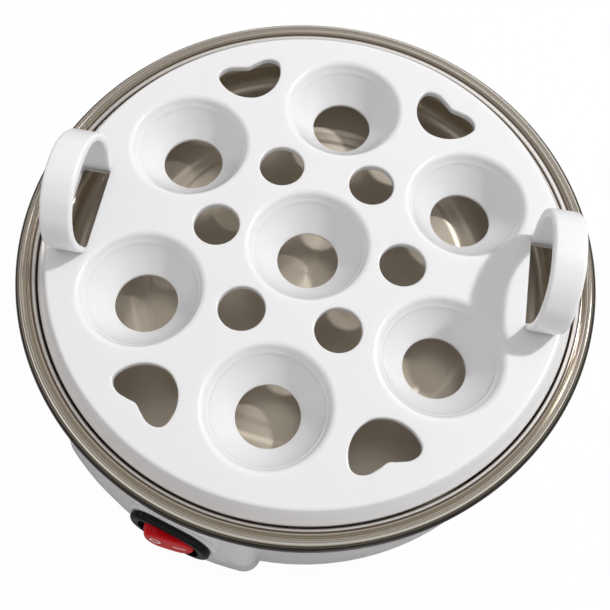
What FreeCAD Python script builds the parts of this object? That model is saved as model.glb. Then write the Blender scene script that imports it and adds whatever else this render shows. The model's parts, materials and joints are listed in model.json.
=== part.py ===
import FreeCAD
import Part
import math
import os

V = FreeCAD.Vector

# Overall size, in millimetres. The origin is on the floor under the centre of the pan.
rim_radius = 82.5
tray_top = 56.0
foot_height = 3.0
fit_gap = 0.4
close_gap = 0.3
steel_gauge = 0.6

# Egg tray.
tray_radius = 75.8
tray_wall = 2.0
tray_shoulder = 4.8
tray_skirt = 11.0
cup_pitch = 48.1
cup_count = 6
cup_first_angle = 30.0
cup_flat_radius = 18.3
cup_lip = 2.0
cup_lip_angle = 60.0
cup_hole = 8.95
cup_depth = 10.4
cup_edge = 1.0
cup_wall = 1.7
bowl_sag = 0.5
vent_pitch = 26.9
vent_radius = 6.5
opening_edge = 0.5
heart_pitch = 59.5
heart_angles = (60.0, 120.0, 240.0, 300.0)
handle_angles = (3.0, 183.0)
strap_inner = 61.9
strap_outer = 71.6
arch_half = 16.0
arch_height = 21.5
arch_thick = 3.2
arch_power = 2.5
arch_edge = 0.9
tray_turn = 13.0

# Heating pan.
plate_top = 36.5
plate_corner = 4.5
pan_wall_radius = 72.5
ledge_corner = 1.2
rim_wall_radius = 76.9
rim_foot_corner = 0.9
groove_radius = 49.5
groove_depth = 0.5
groove_width = 1.6
centre_dot = 0.8

# Housing.
housing_bottom_radius = 82.0
housing_top_radius = 80.9
housing_top = 46.6
housing_wall = 2.4
land_depth = 3.0
land_inner = 77.9
pod_start = -121.0
pod_end = -73.3
pod_top_radius = 81.0
pod_waist_radius = 85.5
pod_waist = 20.0
pod_foot_radius = 85.9
pod_corner = 5.0

# Rocker switch, in its own frame: x along the rocker, y up the face, z outward.
switch_height = 30.5
switch_lean = 9.5
pad_proud = 0.4
bezel_length = 24.4
bezel_width = 15.4
bezel_thick = 2.0
body_length = 19.6
body_width = 11.6
body_depth = 16.0
body_wall = 1.0
body_floor = 1.6
rocker_end = 8.2
rocker_width = 10.2
rocker_pivot = -1.5
rocker_tilt = 10.0
rocker_vee = 8.0
rocker_crown = 2.4
pin_radius = 1.1
arm_ratio = 0.5

# Under the plate.
spreader_inner = 16.0
spreader_outer = 46.0
spreader_thick = 3.0
element_pitch = 34.0
element_radius = 3.2
element_gap = 32.0
leg_drop = 7.0
sleeve_length = 8.0
blade_width = 4.8
blade_thick = 0.8
cap_radius = 7.0
cap_height = 4.5
thermostat_radius = 8.0
thermostat_body = 8.5
bracket_gauge = 0.8
bracket_reach = 26.0
bracket_width = 9.0
screw_radius = 1.5
head_radius = 2.8
head_height = 1.9
fuse_pitch = 41.6
fuse_radius = 2.0
fuse_half = 13.0
clip_angle = 54.0
clip_width = 5.0
stud_pitch = 58.0
stud_radius = 2.0
stud_angles = (-30.0, 90.0, 210.0)
lug_top = 28.0
lug_thick = 3.0
lug_half = 6.5
nut_flat = 3.5
nut_height = 3.2
washer_radius = 4.5
washer_thick = 0.8

# Floor of the base.
cover_thick = 2.0
post_pitch = 73.0
post_radius = 4.2
post_height = 17.0
post_angles = (15.0, 165.0, 225.0, 315.0)
foot_pitch = 60.0
foot_radius = 7.0
foot_angles = (45.0, 135.0, 225.0, 315.0)
stem_radius = 2.6
slot_count = 12
slot_pitch = 33.0
slot_half = 8.0
slot_width = 2.6
gland_height = 13.5
gland_radius = 5.6
gland_bore = 3.4
gland_flange = 8.0
gland_tail = 14.0
gland_reach = 89.0
block_y = 52.0
block_length = 24.0
block_width = 11.0
block_height = 9.0
wire_radius = 1.1

cover_low = foot_height
cover_top = cover_low + cover_thick
ledge_top = tray_top - tray_skirt
plate_under = plate_top - steel_gauge
spreader_under = plate_under - spreader_thick


def turn(shape, angle):
    copy = shape.copy()
    copy.rotate(V(0, 0, 0), V(0, 0, 1), angle)
    return copy


def polar(radius, angle, height):
    a = math.radians(angle)
    return V(radius * math.cos(a), radius * math.sin(a), height)


def flat(u, v):
    return V(u, v, 0)


def upright(u, v):
    return V(u, 0, v)


# A closed outline through (u, v, radius) corners, each corner rounded by its radius.
def rounded(points, put):
    count = len(points)
    starts = []
    ends = []
    middles = []
    for i in range(count):
        u, v, radius = points[i]
        pu, pv, pr = points[i - 1]
        nu, nv, nr = points[(i + 1) % count]
        if radius <= 0:
            starts.append((u, v))
            ends.append((u, v))
            middles.append(None)
            continue
        back = math.hypot(pu - u, pv - v)
        ahead = math.hypot(nu - u, nv - v)
        b = ((pu - u) / back, (pv - v) / back)
        f = ((nu - u) / ahead, (nv - v) / ahead)
        half = math.acos(max(-1.0, min(1.0, b[0] * f[0] + b[1] * f[1]))) / 2
        reach = radius / math.tan(half)
        mid = math.hypot(b[0] + f[0], b[1] + f[1])
        m = ((b[0] + f[0]) / mid, (b[1] + f[1]) / mid)
        out = radius / math.sin(half) - radius
        starts.append((u + b[0] * reach, v + b[1] * reach))
        ends.append((u + f[0] * reach, v + f[1] * reach))
        middles.append((u + m[0] * out, v + m[1] * out))
    edges = []
    for i in range(count):
        if middles[i]:
            edges.append(Part.Arc(put(*starts[i]), put(*middles[i]), put(*ends[i])).toShape())
        a = put(*ends[i])
        b = put(*starts[(i + 1) % count])
        if a.distanceToPoint(b) > 1e-6:
            edges.append(Part.LineSegment(a, b).toShape())
    return Part.Wire(edges)


# A turned solid from a section of (radius, height, corner) points.
def turned(points, start=0.0, sweep=360.0):
    face = Part.Face(rounded(points, upright))
    return turn(face.revolve(V(0, 0, 0), V(0, 0, 1), sweep), start)


# The section of a sheet whose upper side follows the path, closed at the given gauge below it.
def sheet(path, gauge):
    normals = []
    for i in range(len(path) - 1):
        du = path[i + 1][0] - path[i][0]
        dv = path[i + 1][1] - path[i][1]
        length = math.hypot(du, dv)
        normals.append((dv / length, -du / length))
    under = []
    for i in range(len(path)):
        u, v, radius = path[i]
        if i == 0:
            n = normals[0]
            under.append((u + n[0] * gauge, v + n[1] * gauge, 0))
            continue
        if i == len(path) - 1:
            n = normals[-1]
            under.append((u + n[0] * gauge, v + n[1] * gauge, 0))
            continue
        a = normals[i - 1]
        b = normals[i]
        share = gauge / (1 + a[0] * b[0] + a[1] * b[1])
        left = a[0] * b[1] - a[1] * b[0] > 0
        inner = radius + gauge if left else radius - gauge
        under.append((u + (a[0] + b[0]) * share, v + (a[1] + b[1]) * share, max(inner, 0)))
    return list(path) + under[::-1]


def cylinder(radius, low, high, x=0.0, y=0.0):
    return Part.makeCylinder(radius, high - low, V(x, y, low))


def block(x0, x1, y0, y1, z0, z1):
    return Part.makeBox(x1 - x0, y1 - y0, z1 - z0, V(x0, y0, z0))


# A flat plate with rounded corners, standing from low to high.
def plate(length, width, corner, low, high, x=0.0, y=0.0):
    a = length / 2
    b = width / 2
    points = [(x - a, y - b, corner), (x + a, y - b, corner), (x + a, y + b, corner), (x - a, y + b, corner)]
    face = Part.Face(rounded(points, flat))
    face.translate(V(0, 0, low))
    return face.extrude(V(0, 0, high - low))


def hexagon(across, low, high):
    corner = across / math.cos(math.radians(30))
    points = [polar(corner, 60 * i, low) for i in range(7)]
    return Part.Face(Part.makePolygon(points)).extrude(V(0, 0, high - low))


# A round lead along points, leaving the first and reaching the last in the given directions.
def lead(points, leave, reach):
    curve = Part.BSplineCurve()
    curve.interpolate(Points=points, InitialTangent=leave, FinalTangent=reach)
    path = Part.Wire([curve.toShape()])
    circle = Part.Wire([Part.Circle(points[0], leave, wire_radius).toShape()])
    return path.makePipeShell([circle], True, True)


def edges_at(shape, test):
    return [e for e in shape.Edges if test(e)]


# The hollow of one egg cup: rounded lip, bowl-shaped wall and round hole, cut down from the tray top.
def cup_hollow():
    a = math.radians(cup_lip_angle)
    low = (cup_flat_radius - cup_lip * math.sin(a), -cup_lip + cup_lip * math.cos(a))
    half = a / 2
    lip_mid = (cup_flat_radius - cup_lip * math.sin(half), -cup_lip + cup_lip * math.cos(half))
    end = (cup_hole, -cup_depth)
    chord = math.hypot(low[0] - end[0], low[1] - end[1])
    normal = ((low[1] - end[1]) / chord, -(low[0] - end[0]) / chord)
    bowl_mid = ((low[0] + end[0]) / 2 + normal[0] * bowl_sag, (low[1] + end[1]) / 2 + normal[1] * bowl_sag)
    top = tray_wall
    bottom = -cup_depth - 2 * cup_edge
    edges = [
        Part.LineSegment(upright(0, top), upright(cup_flat_radius, top)).toShape(),
        Part.LineSegment(upright(cup_flat_radius, top), upright(cup_flat_radius, 0)).toShape(),
        Part.Arc(upright(cup_flat_radius, 0), upright(*lip_mid), upright(*low)).toShape(),
        Part.Arc(upright(*low), upright(*bowl_mid), upright(*end)).toShape(),
        Part.LineSegment(upright(*end), upright(cup_hole, bottom)).toShape(),
        Part.LineSegment(upright(cup_hole, bottom), upright(0, bottom)).toShape(),
        Part.LineSegment(upright(0, bottom), upright(0, top)).toShape(),
    ]
    solid = Part.Face(Part.Wire(edges)).revolve(V(0, 0, 0), V(0, 0, 1), 360)
    solid.translate(V(0, 0, tray_top))
    return solid


# The outside of one egg cup, a rounded cone that hangs under the tray.
def cup_outside():
    top = tray_top - tray_wall / 2
    low = tray_top - cup_depth - cup_edge
    knee = cup_flat_radius - cup_lip * math.sin(math.radians(cup_lip_angle)) + cup_wall
    points = [
        (0, top, 0),
        (cup_flat_radius, top, 0),
        (cup_flat_radius, tray_top - tray_wall, 0),
        (knee, tray_top - tray_wall - cup_wall, cup_wall),
        (cup_hole + cup_wall, low, cup_edge / 2),
        (0, low, 0),
    ]
    return turned(points)


# The outline of one heart-shaped opening: blunt tip toward the middle, two soft lobes outward.
def heart_cutter():
    side = [(0, -6.6), (4.9, -4.9), (8.3, -0.9), (9.4, 2.9), (8.0, 5.1), (4.6, 5.5), (0, 4.2)]
    points = [flat(u, v) for u, v in side]
    points += [flat(-u, v) for u, v in side[-2:0:-1]]
    curve = Part.BSplineCurve()
    curve.interpolate(Points=points, PeriodicFlag=True)
    face = Part.Face(Part.Wire([curve.toShape()]))
    face.rotate(V(0, 0, 0), V(0, 0, 1), -90)
    face.translate(V(heart_pitch, 0, tray_top - 2 * tray_wall))
    return face.extrude(V(0, 0, 3 * tray_wall))


# A soft arch in the plane across the strap, closed along its foot.
def arch_face(half, height, foot, steps=14):
    points = []
    for i in range(steps + 1):
        a = math.pi * i / steps
        c = math.cos(a)
        s = math.sin(a)
        side = math.copysign(abs(c) ** (2 / arch_power), c)
        points.append(V(0, half * side, height * abs(s) ** (2 / arch_power)))
    points[0].z = 0
    points[-1].z = 0
    curve = Part.BSplineCurve()
    curve.interpolate(Points=points, InitialTangent=V(0, 0, 1), FinalTangent=V(0, 0, -1))
    right = V(0, half, -foot)
    left = V(0, -half, -foot)
    edges = [
        curve.toShape(),
        Part.LineSegment(points[-1], left).toShape(),
        Part.LineSegment(left, right).toShape(),
        Part.LineSegment(right, points[0]).toShape(),
    ]
    return Part.Face(Part.Wire(edges))


# One lifting handle: a wide strap bent in an arch, standing on the tray.
def handle():
    reach = strap_outer - strap_inner
    foot = tray_wall / 2
    outside = arch_face(arch_half, arch_height, foot)
    outside.translate(V(strap_inner, 0, tray_top))
    inside = arch_face(arch_half - arch_thick, arch_height - arch_thick, 2 * foot)
    inside.translate(V(strap_inner - reach, 0, tray_top))
    solid = outside.extrude(V(reach, 0, 0))
    solid = solid.cut(inside.extrude(V(3 * reach, 0, 0)))
    soft = edges_at(solid, lambda e: e.BoundBox.ZLength > arch_height / 2 and e.BoundBox.XLength < 0.1)
    return solid.makeFillet(arch_edge, soft)


def egg_tray():
    path = [(0, tray_top, 0), (tray_radius, tray_top, tray_shoulder), (tray_radius, ledge_top, 0)]
    tray = turned(sheet(path, tray_wall))
    cuts = []
    for angle in range(0, 360, 60):
        cuts.append(cylinder(vent_radius, tray_top - 2 * tray_wall, tray_top + tray_wall, vent_pitch, 0))
        cuts[-1] = turn(cuts[-1], angle)
    for angle in heart_angles:
        cuts.append(turn(heart_cutter(), angle))
    inner = arch_half - arch_thick
    for angle in handle_angles:
        slot = block(strap_inner, strap_outer, -inner, inner, tray_top - 2 * tray_wall, tray_top + tray_wall)
        cuts.append(turn(slot, angle))
    tray = tray.cut(Part.makeCompound(cuts))
    rims = edges_at(tray, lambda e: opening_rim(e))
    tray = tray.makeFillet(opening_edge, rims)
    spots = [(0.0, 0.0)]
    for i in range(cup_count):
        spots.append((cup_pitch, cup_first_angle + i * 360 / cup_count))
    outsides = []
    hollows = []
    for radius, angle in spots:
        for made, kind in ((outsides, cup_outside), (hollows, cup_hollow)):
            cup = kind()
            cup.translate(V(radius, 0, 0))
            made.append(turn(cup, angle))
    tray = tray.fuse(outsides)
    tray = tray.cut(Part.makeCompound(hollows))
    tray = tray.fuse([turn(handle(), angle) for angle in handle_angles])
    return turn(tray.removeSplitter(), tray_turn)


# True for the top edges of the vents and the hearts.
def opening_rim(edge):
    box = edge.BoundBox
    level = abs(box.ZMin - tray_top) < 0.01 and box.ZLength < 0.01
    size = max(box.XLength, box.YLength)
    round_or_heart = vent_radius < size < 4 * vent_radius
    straight = edge.Curve.TypeId == "Part::GeomLine"
    return level and round_or_heart and not straight


# The pan: plate with a pressed ring, side wall, ledge for the tray, grooved shoulder and rolled bead.
def heating_pan():
    half = groove_width / 2
    shoulder = tray_top - 2.6
    bead = tray_top - 1.6
    hem = bead - 6.8
    path = [
        (0, plate_top, 0),
        (groove_radius - groove_width, plate_top, steel_gauge + 0.1),
        (groove_radius - half, plate_top - groove_depth, 0.3),
        (groove_radius + half, plate_top - groove_depth, 0.3),
        (groove_radius + groove_width, plate_top, steel_gauge + 0.1),
        (pan_wall_radius, plate_top, plate_corner),
        (pan_wall_radius, ledge_top, ledge_corner),
        (rim_wall_radius, ledge_top, rim_foot_corner),
        (rim_wall_radius, shoulder - 2.3, 1.5),
        (rim_wall_radius + 1.6, shoulder, steel_gauge + 0.1),
        (rim_wall_radius + 2.5, shoulder - 0.8, 0.1),
        (rim_wall_radius + 3.3, bead, steel_gauge + 0.2),
        (rim_radius, bead, 1.7),
        (rim_radius, hem, 1.0),
        (rim_radius - 1.3, hem, 0),
    ]
    pan = turned(sheet(path, steel_gauge))
    dot = Part.makeSphere(centre_dot, V(0, 0, plate_top + centre_dot - 0.25))
    return pan.cut(dot)


def rim_seal():
    low = housing_top
    high = tray_top - 4.6
    inner = rim_wall_radius + steel_gauge + close_gap
    outer = housing_top_radius - close_gap
    waist = inner + 1.0
    points = [
        (inner, low, 0),
        (outer, low, 0.3),
        (outer, low + 1.6, 0.4),
        (waist, low + 1.6, 0.4),
        (waist, high, 0.3),
        (inner, high, 0.3),
    ]
    return turned(points)


# The pod profile from the housing axis out to the switch face, grown or shrunk by a wall.
def pod_points(wall, low, high):
    return [
        (housing_bottom_radius - 4 * housing_wall, low, 0),
        (pod_foot_radius - wall, low, 0),
        (pod_waist_radius - wall, pod_waist, 0),
        (pod_top_radius - wall, high, 0),
        (housing_bottom_radius - 4 * housing_wall, high, 0),
    ]


def pod_solid(wall, low, high, corner):
    lead = math.degrees(wall / pod_foot_radius)
    solid = turned(pod_points(wall, low, high), pod_start + lead, pod_end - pod_start - 2 * lead)
    limit = pod_top_radius - wall - 1.0

    def outer_side(edge):
        middle = edge.valueAt((edge.FirstParameter + edge.LastParameter) / 2)
        steep = edge.BoundBox.ZLength > 5
        return steep and math.hypot(middle.x, middle.y) > limit
    return solid.makeFillet(corner, edges_at(solid, outer_side))


# Moves a shape from the switch frame to its place on the pod.
def on_pod(shape):
    copy = shape.copy()
    copy.rotate(V(0, 0, 0), V(1, 0, 0), 90 - switch_lean)
    copy.translate(switch_origin())
    return copy


# The middle of the flat pad, a little proud of the sloping pod face.
def switch_origin():
    share = (housing_top - switch_height) / (housing_top - pod_waist)
    radius = pod_top_radius + (pod_waist_radius - pod_top_radius) * share + pad_proud
    return V(0, -radius, switch_height)


# The housing as a full block, and the space inside it, before posts and bores.
def housing_block():
    outer = [
        (0, cover_low, 0),
        (housing_bottom_radius, cover_low, 1.4),
        (housing_top_radius, housing_top, 0.7),
        (0, housing_top, 0),
    ]
    pad = plate(bezel_length + 2.4, bezel_width + 2.4, (bezel_width + 2.4) / 2.1, -2.0, 0)
    pad = pad.makeFillet(pad_proud, edges_at(pad, lambda e: e.BoundBox.ZMin > -0.01))
    return turned(outer).fuse([pod_solid(0, cover_low, housing_top, pod_corner), on_pod(pad)])


def housing_hollow():
    low = cover_low - 1
    high = housing_top - land_depth
    inner = [
        (0, low, 0),
        (housing_bottom_radius - housing_wall, low, 0),
        (housing_top_radius - housing_wall, high, 0),
        (land_inner, high, 0),
        (land_inner, housing_top + 1, 0),
        (0, housing_top + 1, 0),
    ]
    return turned(inner).fuse(pod_solid(housing_wall, low, high, pod_corner - housing_wall))


def base_housing():
    shell = housing_block().cut(housing_hollow())
    limit = turned([
        (0, cover_low, 0),
        (housing_bottom_radius - 1, cover_low, 0),
        (housing_top_radius - 1, housing_top, 0),
        (0, housing_top, 0),
    ])
    additions = [turn(cover_post(), angle) for angle in post_angles]
    additions += [turn(pan_lug(), angle) for angle in stud_angles]
    shell = shell.fuse([piece.common(limit) for piece in additions])
    bores = []
    for angle in post_angles:
        bore = cylinder(screw_radius + 0.1, cover_low, cover_top + post_height - 3, post_pitch)
        bores.append(turn(bore, angle))
    for angle in stud_angles:
        bore = cylinder(stud_radius + close_gap, lug_top - 9, lug_top + 1, stud_pitch)
        bores.append(turn(bore, angle))
    bores.append(on_pod(plate(body_length + 2 * close_gap, body_width + 2 * close_gap, 1.2, -12, 3)))
    start = V(0, housing_top_radius - 12, gland_height)
    bores.append(Part.makeCylinder(gland_radius + 0.2, 20, start, V(0, 1, 0)))
    return shell.cut(Part.makeCompound(bores)).removeSplitter()


# A screw post for the floor cover, ribbed to the wall.
def cover_post():
    post = cylinder(post_radius, cover_top, cover_top + post_height, post_pitch, 0)
    rib = block(post_pitch, housing_top_radius, -1.2, 1.2, cover_top, cover_top + post_height - 2)
    return post.fuse(rib)


# A shelf that takes one pan stud, on a gusset from the wall.
def pan_lug():
    inner = stud_pitch - lug_half
    shelf = block(inner, housing_top_radius, -lug_half, lug_half, lug_top - lug_thick, lug_top)
    gusset_points = [
        upright(stud_pitch + lug_half + 2, lug_top - lug_thick),
        upright(housing_top_radius, lug_top - lug_thick),
        upright(housing_top_radius, lug_top - 1.8 * lug_thick),
        upright(stud_pitch + lug_half + 2, lug_top - lug_thick),
    ]
    gusset = Part.Face(Part.makePolygon(gusset_points))
    pair = []
    for y in (-lug_half, lug_half - 2):
        rib = gusset.copy()
        rib.translate(V(0, y, 0))
        pair.append(rib.extrude(V(0, 2, 0)))
    return shelf.fuse(pair)


def bottom_cover():
    radius = housing_bottom_radius - housing_wall - fit_gap
    cover = cylinder(radius, cover_low, cover_top)
    pod_part = cover_pod()
    cover = cover.fuse(pod_part).removeSplitter()
    rib = cylinder(slot_pitch + slot_half + 4, cover_top, cover_top + 1.2)
    rib = rib.cut(cylinder(slot_pitch + slot_half + 2.5, cover_top, cover_top + 1.2))
    cover = cover.fuse(rib)
    cuts = []
    for i in range(slot_count):
        slot = plate(2 * slot_half, slot_width, slot_width / 2.05, cover_low - 1, cover_top + 1, slot_pitch, 0)
        cuts.append(turn(slot, i * 360 / slot_count))
    for angle in post_angles:
        cuts.append(turn(cylinder(screw_radius + 0.2, cover_low - 1, cover_top + 1, post_pitch), angle))
    for angle in foot_angles:
        cuts.append(turn(cylinder(stem_radius + close_gap, cover_low - 1, cover_top + 1, foot_pitch), angle))
    return cover.cut(Part.makeCompound(cuts))


# The part of the floor cover that fills the foot of the pod.
def cover_pod():
    wall = housing_wall + fit_gap
    whole = pod_solid(wall, cover_low, housing_top, 2.0)
    size = 2 * pod_foot_radius
    return whole.common(block(-size, size, -size, size, cover_low, cover_top))


# One pan-head screw standing head down at the origin, its head top face at zero.
def small_screw(length):
    head = cylinder(head_radius, -head_height, 0)
    head = head.makeFillet(0.6, edges_at(head, lambda e: abs(e.BoundBox.ZMax + head_height) < 0.01))
    shank = cylinder(screw_radius, 0, length)
    slot_a = block(-0.4, 0.4, -1.6, 1.6, -head_height - 1, -head_height + 0.8)
    slot_b = block(-1.6, 1.6, -0.4, 0.4, -head_height - 1, -head_height + 0.8)
    return head.fuse(shank).cut(slot_a.fuse(slot_b))


def cover_screws():
    made = []
    for angle in post_angles:
        screw = small_screw(10)
        screw.translate(V(post_pitch, 0, cover_low))
        made.append(turn(screw, angle))
    return Part.makeCompound(made)


# One rubber foot: a soft pad below the cover and a stem with a barbed head above it.
def rubber_feet():
    made = []
    points = [
        (0, 0, 0),
        (foot_radius, 0, 1.0),
        (foot_radius - 0.6, cover_low, 0.3),
        (stem_radius, cover_low, 0),
        (stem_radius, cover_top, 0),
        (stem_radius + 1.2, cover_top, 0.2),
        (stem_radius - 0.8, cover_top + 2.2, 0.5),
        (0, cover_top + 2.2, 0),
    ]
    for angle in foot_angles:
        foot = turned(points)
        foot.translate(V(foot_pitch, 0, 0))
        made.append(turn(foot, angle))
    return Part.makeCompound(made)


def screw_spots():
    return [(bracket_reach - 3.2, 0.0), (bracket_reach - 3.2, 180.0), (fuse_pitch, clip_angle)]


def heat_spreader():
    ring = [
        (spreader_inner, spreader_under, 0.4),
        (spreader_outer, spreader_under, 0.8),
        (spreader_outer, plate_under, 0.3),
        (spreader_inner, plate_under, 0.3),
    ]
    disc = turned(ring)
    cuts = []
    for radius, angle in screw_spots():
        hole = cylinder(screw_radius + 0.1, spreader_under - 1, plate_under - 0.3, radius, 0)
        cuts.append(turn(hole, angle))
    return disc.cut(Part.makeCompound(cuts))


# The heating tube: a nearly closed ring, flat where it meets the aluminium, with two legs turned down.
def heating_element():
    top = spreader_under
    radius = element_radius
    points = [
        (element_pitch - radius, top, 0),
        (element_pitch - radius, top - 2 * radius + 0.6, radius - 0.4),
        (element_pitch + radius, top - 2 * radius + 0.6, radius - 0.4),
        (element_pitch + radius, top, 0),
    ]
    ring = turned(points, -90 + element_gap / 2, 360 - element_gap)
    legs = []
    for side in (-1, 1):
        a = -90 + side * (element_gap / 2)
        at = polar(element_pitch, a, 0)
        leg = cylinder(radius - 0.2, top - leg_drop, top, at.x, at.y)
        legs.append(leg)
    return ring.fuse(legs).removeSplitter()


def leg_points():
    spots = []
    for side in (-1, 1):
        spots.append(polar(element_pitch, -90 + side * element_gap / 2, spreader_under - leg_drop))
    return spots


# Ceramic end beads of the tube and the flat tabs that leave them.
def element_beads():
    made = []
    for at in leg_points():
        bead = cylinder(element_radius - 0.5, at.z - 3.0, at.z, at.x, at.y)
        slot = block(at.x - blade_width / 2, at.x + blade_width / 2, at.y - 0.4, at.y + 0.4, at.z - 4, at.z - 1)
        made.append(bead.cut(slot))
    return Part.makeCompound(made)


def element_tabs():
    made = []
    half = blade_width / 2 - 0.3
    for at in leg_points():
        tab = block(at.x - half, at.x + half, at.y - 0.3, at.y + 0.3, at.z - 8.5, at.z - 1.0)
        made.append(tab)
    return Part.makeCompound(made)


def thermostat_cap():
    low = plate_under - cap_height
    points = [
        (0, low, 0),
        (cap_radius + 1.4, low, 0),
        (cap_radius + 1.4, low + 0.8, 0.3),
        (cap_radius, low + 0.8, 0),
        (cap_radius, plate_under, 0.8),
        (0, plate_under, 0),
    ]
    return turned(points)


def thermostat_body_part():
    high = plate_under - cap_height
    low = high - thermostat_body
    points = [(0, low, 0), (thermostat_radius, low, 0.6), (thermostat_radius, high, 0), (0, high, 0)]
    body = turned(points)
    cuts = []
    for x, y in thermostat_blade_spots():
        cuts.append(block(x - 0.5, x + 0.5, y - 2.6, y + 2.6, low - 1, low + 2))
    return body.cut(Part.makeCompound(cuts))


def thermostat_blade_spots():
    return [(-4.5, 0.0), (4.5, 0.0)]


def thermostat_blades():
    low = plate_under - cap_height - thermostat_body
    made = []
    for x, y in thermostat_blade_spots():
        blade = block(x - 0.4, x + 0.4, y - blade_width / 2, y + blade_width / 2, low - 6.5, low + 2)
        eye = Part.makeCylinder(0.7, 3, V(x - 1.5, y, low - 4.5), V(1, 0, 0))
        made.append(blade.cut(eye))
    return Part.makeCompound(made)


# The steel strap that holds the thermostat up against the plate, bolted to the aluminium ring.
def thermostat_bracket():
    pad_top = spreader_under
    pad_low = pad_top - bracket_gauge
    shelf_top = plate_under - cap_height
    knee = thermostat_radius + 3.2
    ring_low = shelf_top - bracket_gauge
    points = [
        (-bracket_reach, pad_top),
        (-knee - 1.5, pad_top),
        (-knee, shelf_top),
        (knee, shelf_top),
        (knee + 1.5, pad_top),
        (bracket_reach, pad_top),
        (bracket_reach, pad_low),
        (knee + 1.5 + 0.5, pad_low),
        (knee + 0.5, ring_low),
        (-knee - 0.5, ring_low),
        (-knee - 1.5 - 0.5, pad_low),
        (-bracket_reach, pad_low),
    ]
    corners = [upright(u, v) for u, v in points]
    corners.append(corners[0])
    strap = Part.Face(Part.makePolygon(corners))
    strap.translate(V(0, -bracket_width / 2 - 1, 0))
    strap = strap.extrude(V(0, bracket_width + 2, 0))
    cuts = [cylinder(thermostat_radius + 0.2, ring_low - 1, shelf_top + 0.5)]
    for x in (-1, 1):
        at = x * (bracket_reach - 3.2)
        cuts.append(cylinder(screw_radius + 0.2, pad_low - 1, pad_top + 1, at, 0))
    collar = cylinder(thermostat_radius + 2.4, ring_low, shelf_top)
    return strap.fuse(collar).cut(Part.makeCompound(cuts)).removeSplitter()


# The three small screws that hold the bracket and the fuse clip.
def plate_screws():
    made = []
    for radius, angle in screw_spots():
        screw = small_screw(2.4 + bracket_gauge)
        screw.translate(V(radius, 0, spreader_under - bracket_gauge))
        made.append(turn(screw, angle))
    return Part.makeCompound(made)


def fuse_axis():
    return polar(fuse_pitch, 90, spreader_under - fuse_radius - fit_gap - 0.1)


def fuse_sleeve():
    at = fuse_axis()
    return Part.makeCylinder(fuse_radius, 2 * fuse_half, V(-fuse_half, at.y, at.z), V(1, 0, 0))


# A strap clip round the end of the fuse sleeve, its tongue held by one screw.
def fuse_clip():
    at = fuse_axis()
    low = spreader_under - bracket_gauge
    inner = fuse_radius + 0.1
    outer = inner + bracket_gauge
    start = V(fuse_half - 1.0 - clip_width, at.y, at.z)
    hoop = Part.makeCylinder(outer, clip_width, start, V(1, 0, 0))
    hoop = hoop.common(block(0, fuse_half, at.y - 6, at.y + 6, at.z - 6, spreader_under))
    tongue = [
        (fuse_pitch - 3.2, low, 0),
        (fuse_pitch + 3.2, low, 0),
        (fuse_pitch + 3.2, spreader_under, 0),
        (fuse_pitch - 3.2, spreader_under, 0),
    ]
    first = clip_angle - 5.0
    strap = turned(tongue, first, 75.0 - first)
    clip = hoop.fuse(strap)
    bore = Part.makeCylinder(inner, fuse_half + 0.4, V(0, at.y, at.z), V(1, 0, 0))
    hole = turn(cylinder(screw_radius + 0.2, low - 1, spreader_under + 1, fuse_pitch, 0), clip_angle)
    return clip.cut(bore.fuse(hole))


def pan_studs():
    made = []
    for angle in stud_angles:
        stud = cylinder(stud_radius, lug_top - 10, plate_under, stud_pitch, 0)
        pad = cylinder(stud_radius + 2.0, plate_under - 1.0, plate_under, stud_pitch, 0)
        pad = pad.fuse(cylinder(stud_radius + 1.2, lug_top, plate_under - 1.0, stud_pitch, 0))
        made.append(turn(stud.fuse(pad), angle))
    return Part.makeCompound(made)


def stud_washers():
    made = []
    low = lug_top - lug_thick - washer_thick
    for angle in stud_angles:
        ring = cylinder(washer_radius, low, low + washer_thick, stud_pitch, 0)
        ring = ring.cut(cylinder(stud_radius + close_gap, low, low + washer_thick, stud_pitch, 0))
        made.append(turn(ring, angle))
    return Part.makeCompound(made)


# The earth lug sits between the washer and the nut of the rear stud.
def nut_top(angle):
    top = lug_top - lug_thick - washer_thick
    if angle == stud_angles[1]:
        top = top - washer_thick
    return top


def stud_nuts():
    made = []
    for angle in stud_angles:
        high = nut_top(angle)
        nut = hexagon(nut_flat, high - nut_height, high)
        nut = nut.common(Part.makeCone(nut_flat, nut_flat + nut_height, nut_height, V(0, 0, high - nut_height)))
        nut = nut.cut(cylinder(stud_radius + 0.1, high - nut_height, high))
        nut.translate(V(stud_pitch, 0, 0))
        made.append(turn(nut, angle))
    return Part.makeCompound(made)


def earth_lug():
    high = lug_top - lug_thick - washer_thick
    low = high - washer_thick
    eye = cylinder(washer_radius - 0.3, low, high)
    tail = block(0, 13, -1.6, 1.6, low, high)
    lug = eye.fuse(tail).cut(cylinder(stud_radius + close_gap, low, high))
    lug.rotate(V(0, 0, 0), V(0, 0, 1), -150)
    lug.translate(V(0, stud_pitch, 0))
    return lug


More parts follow.
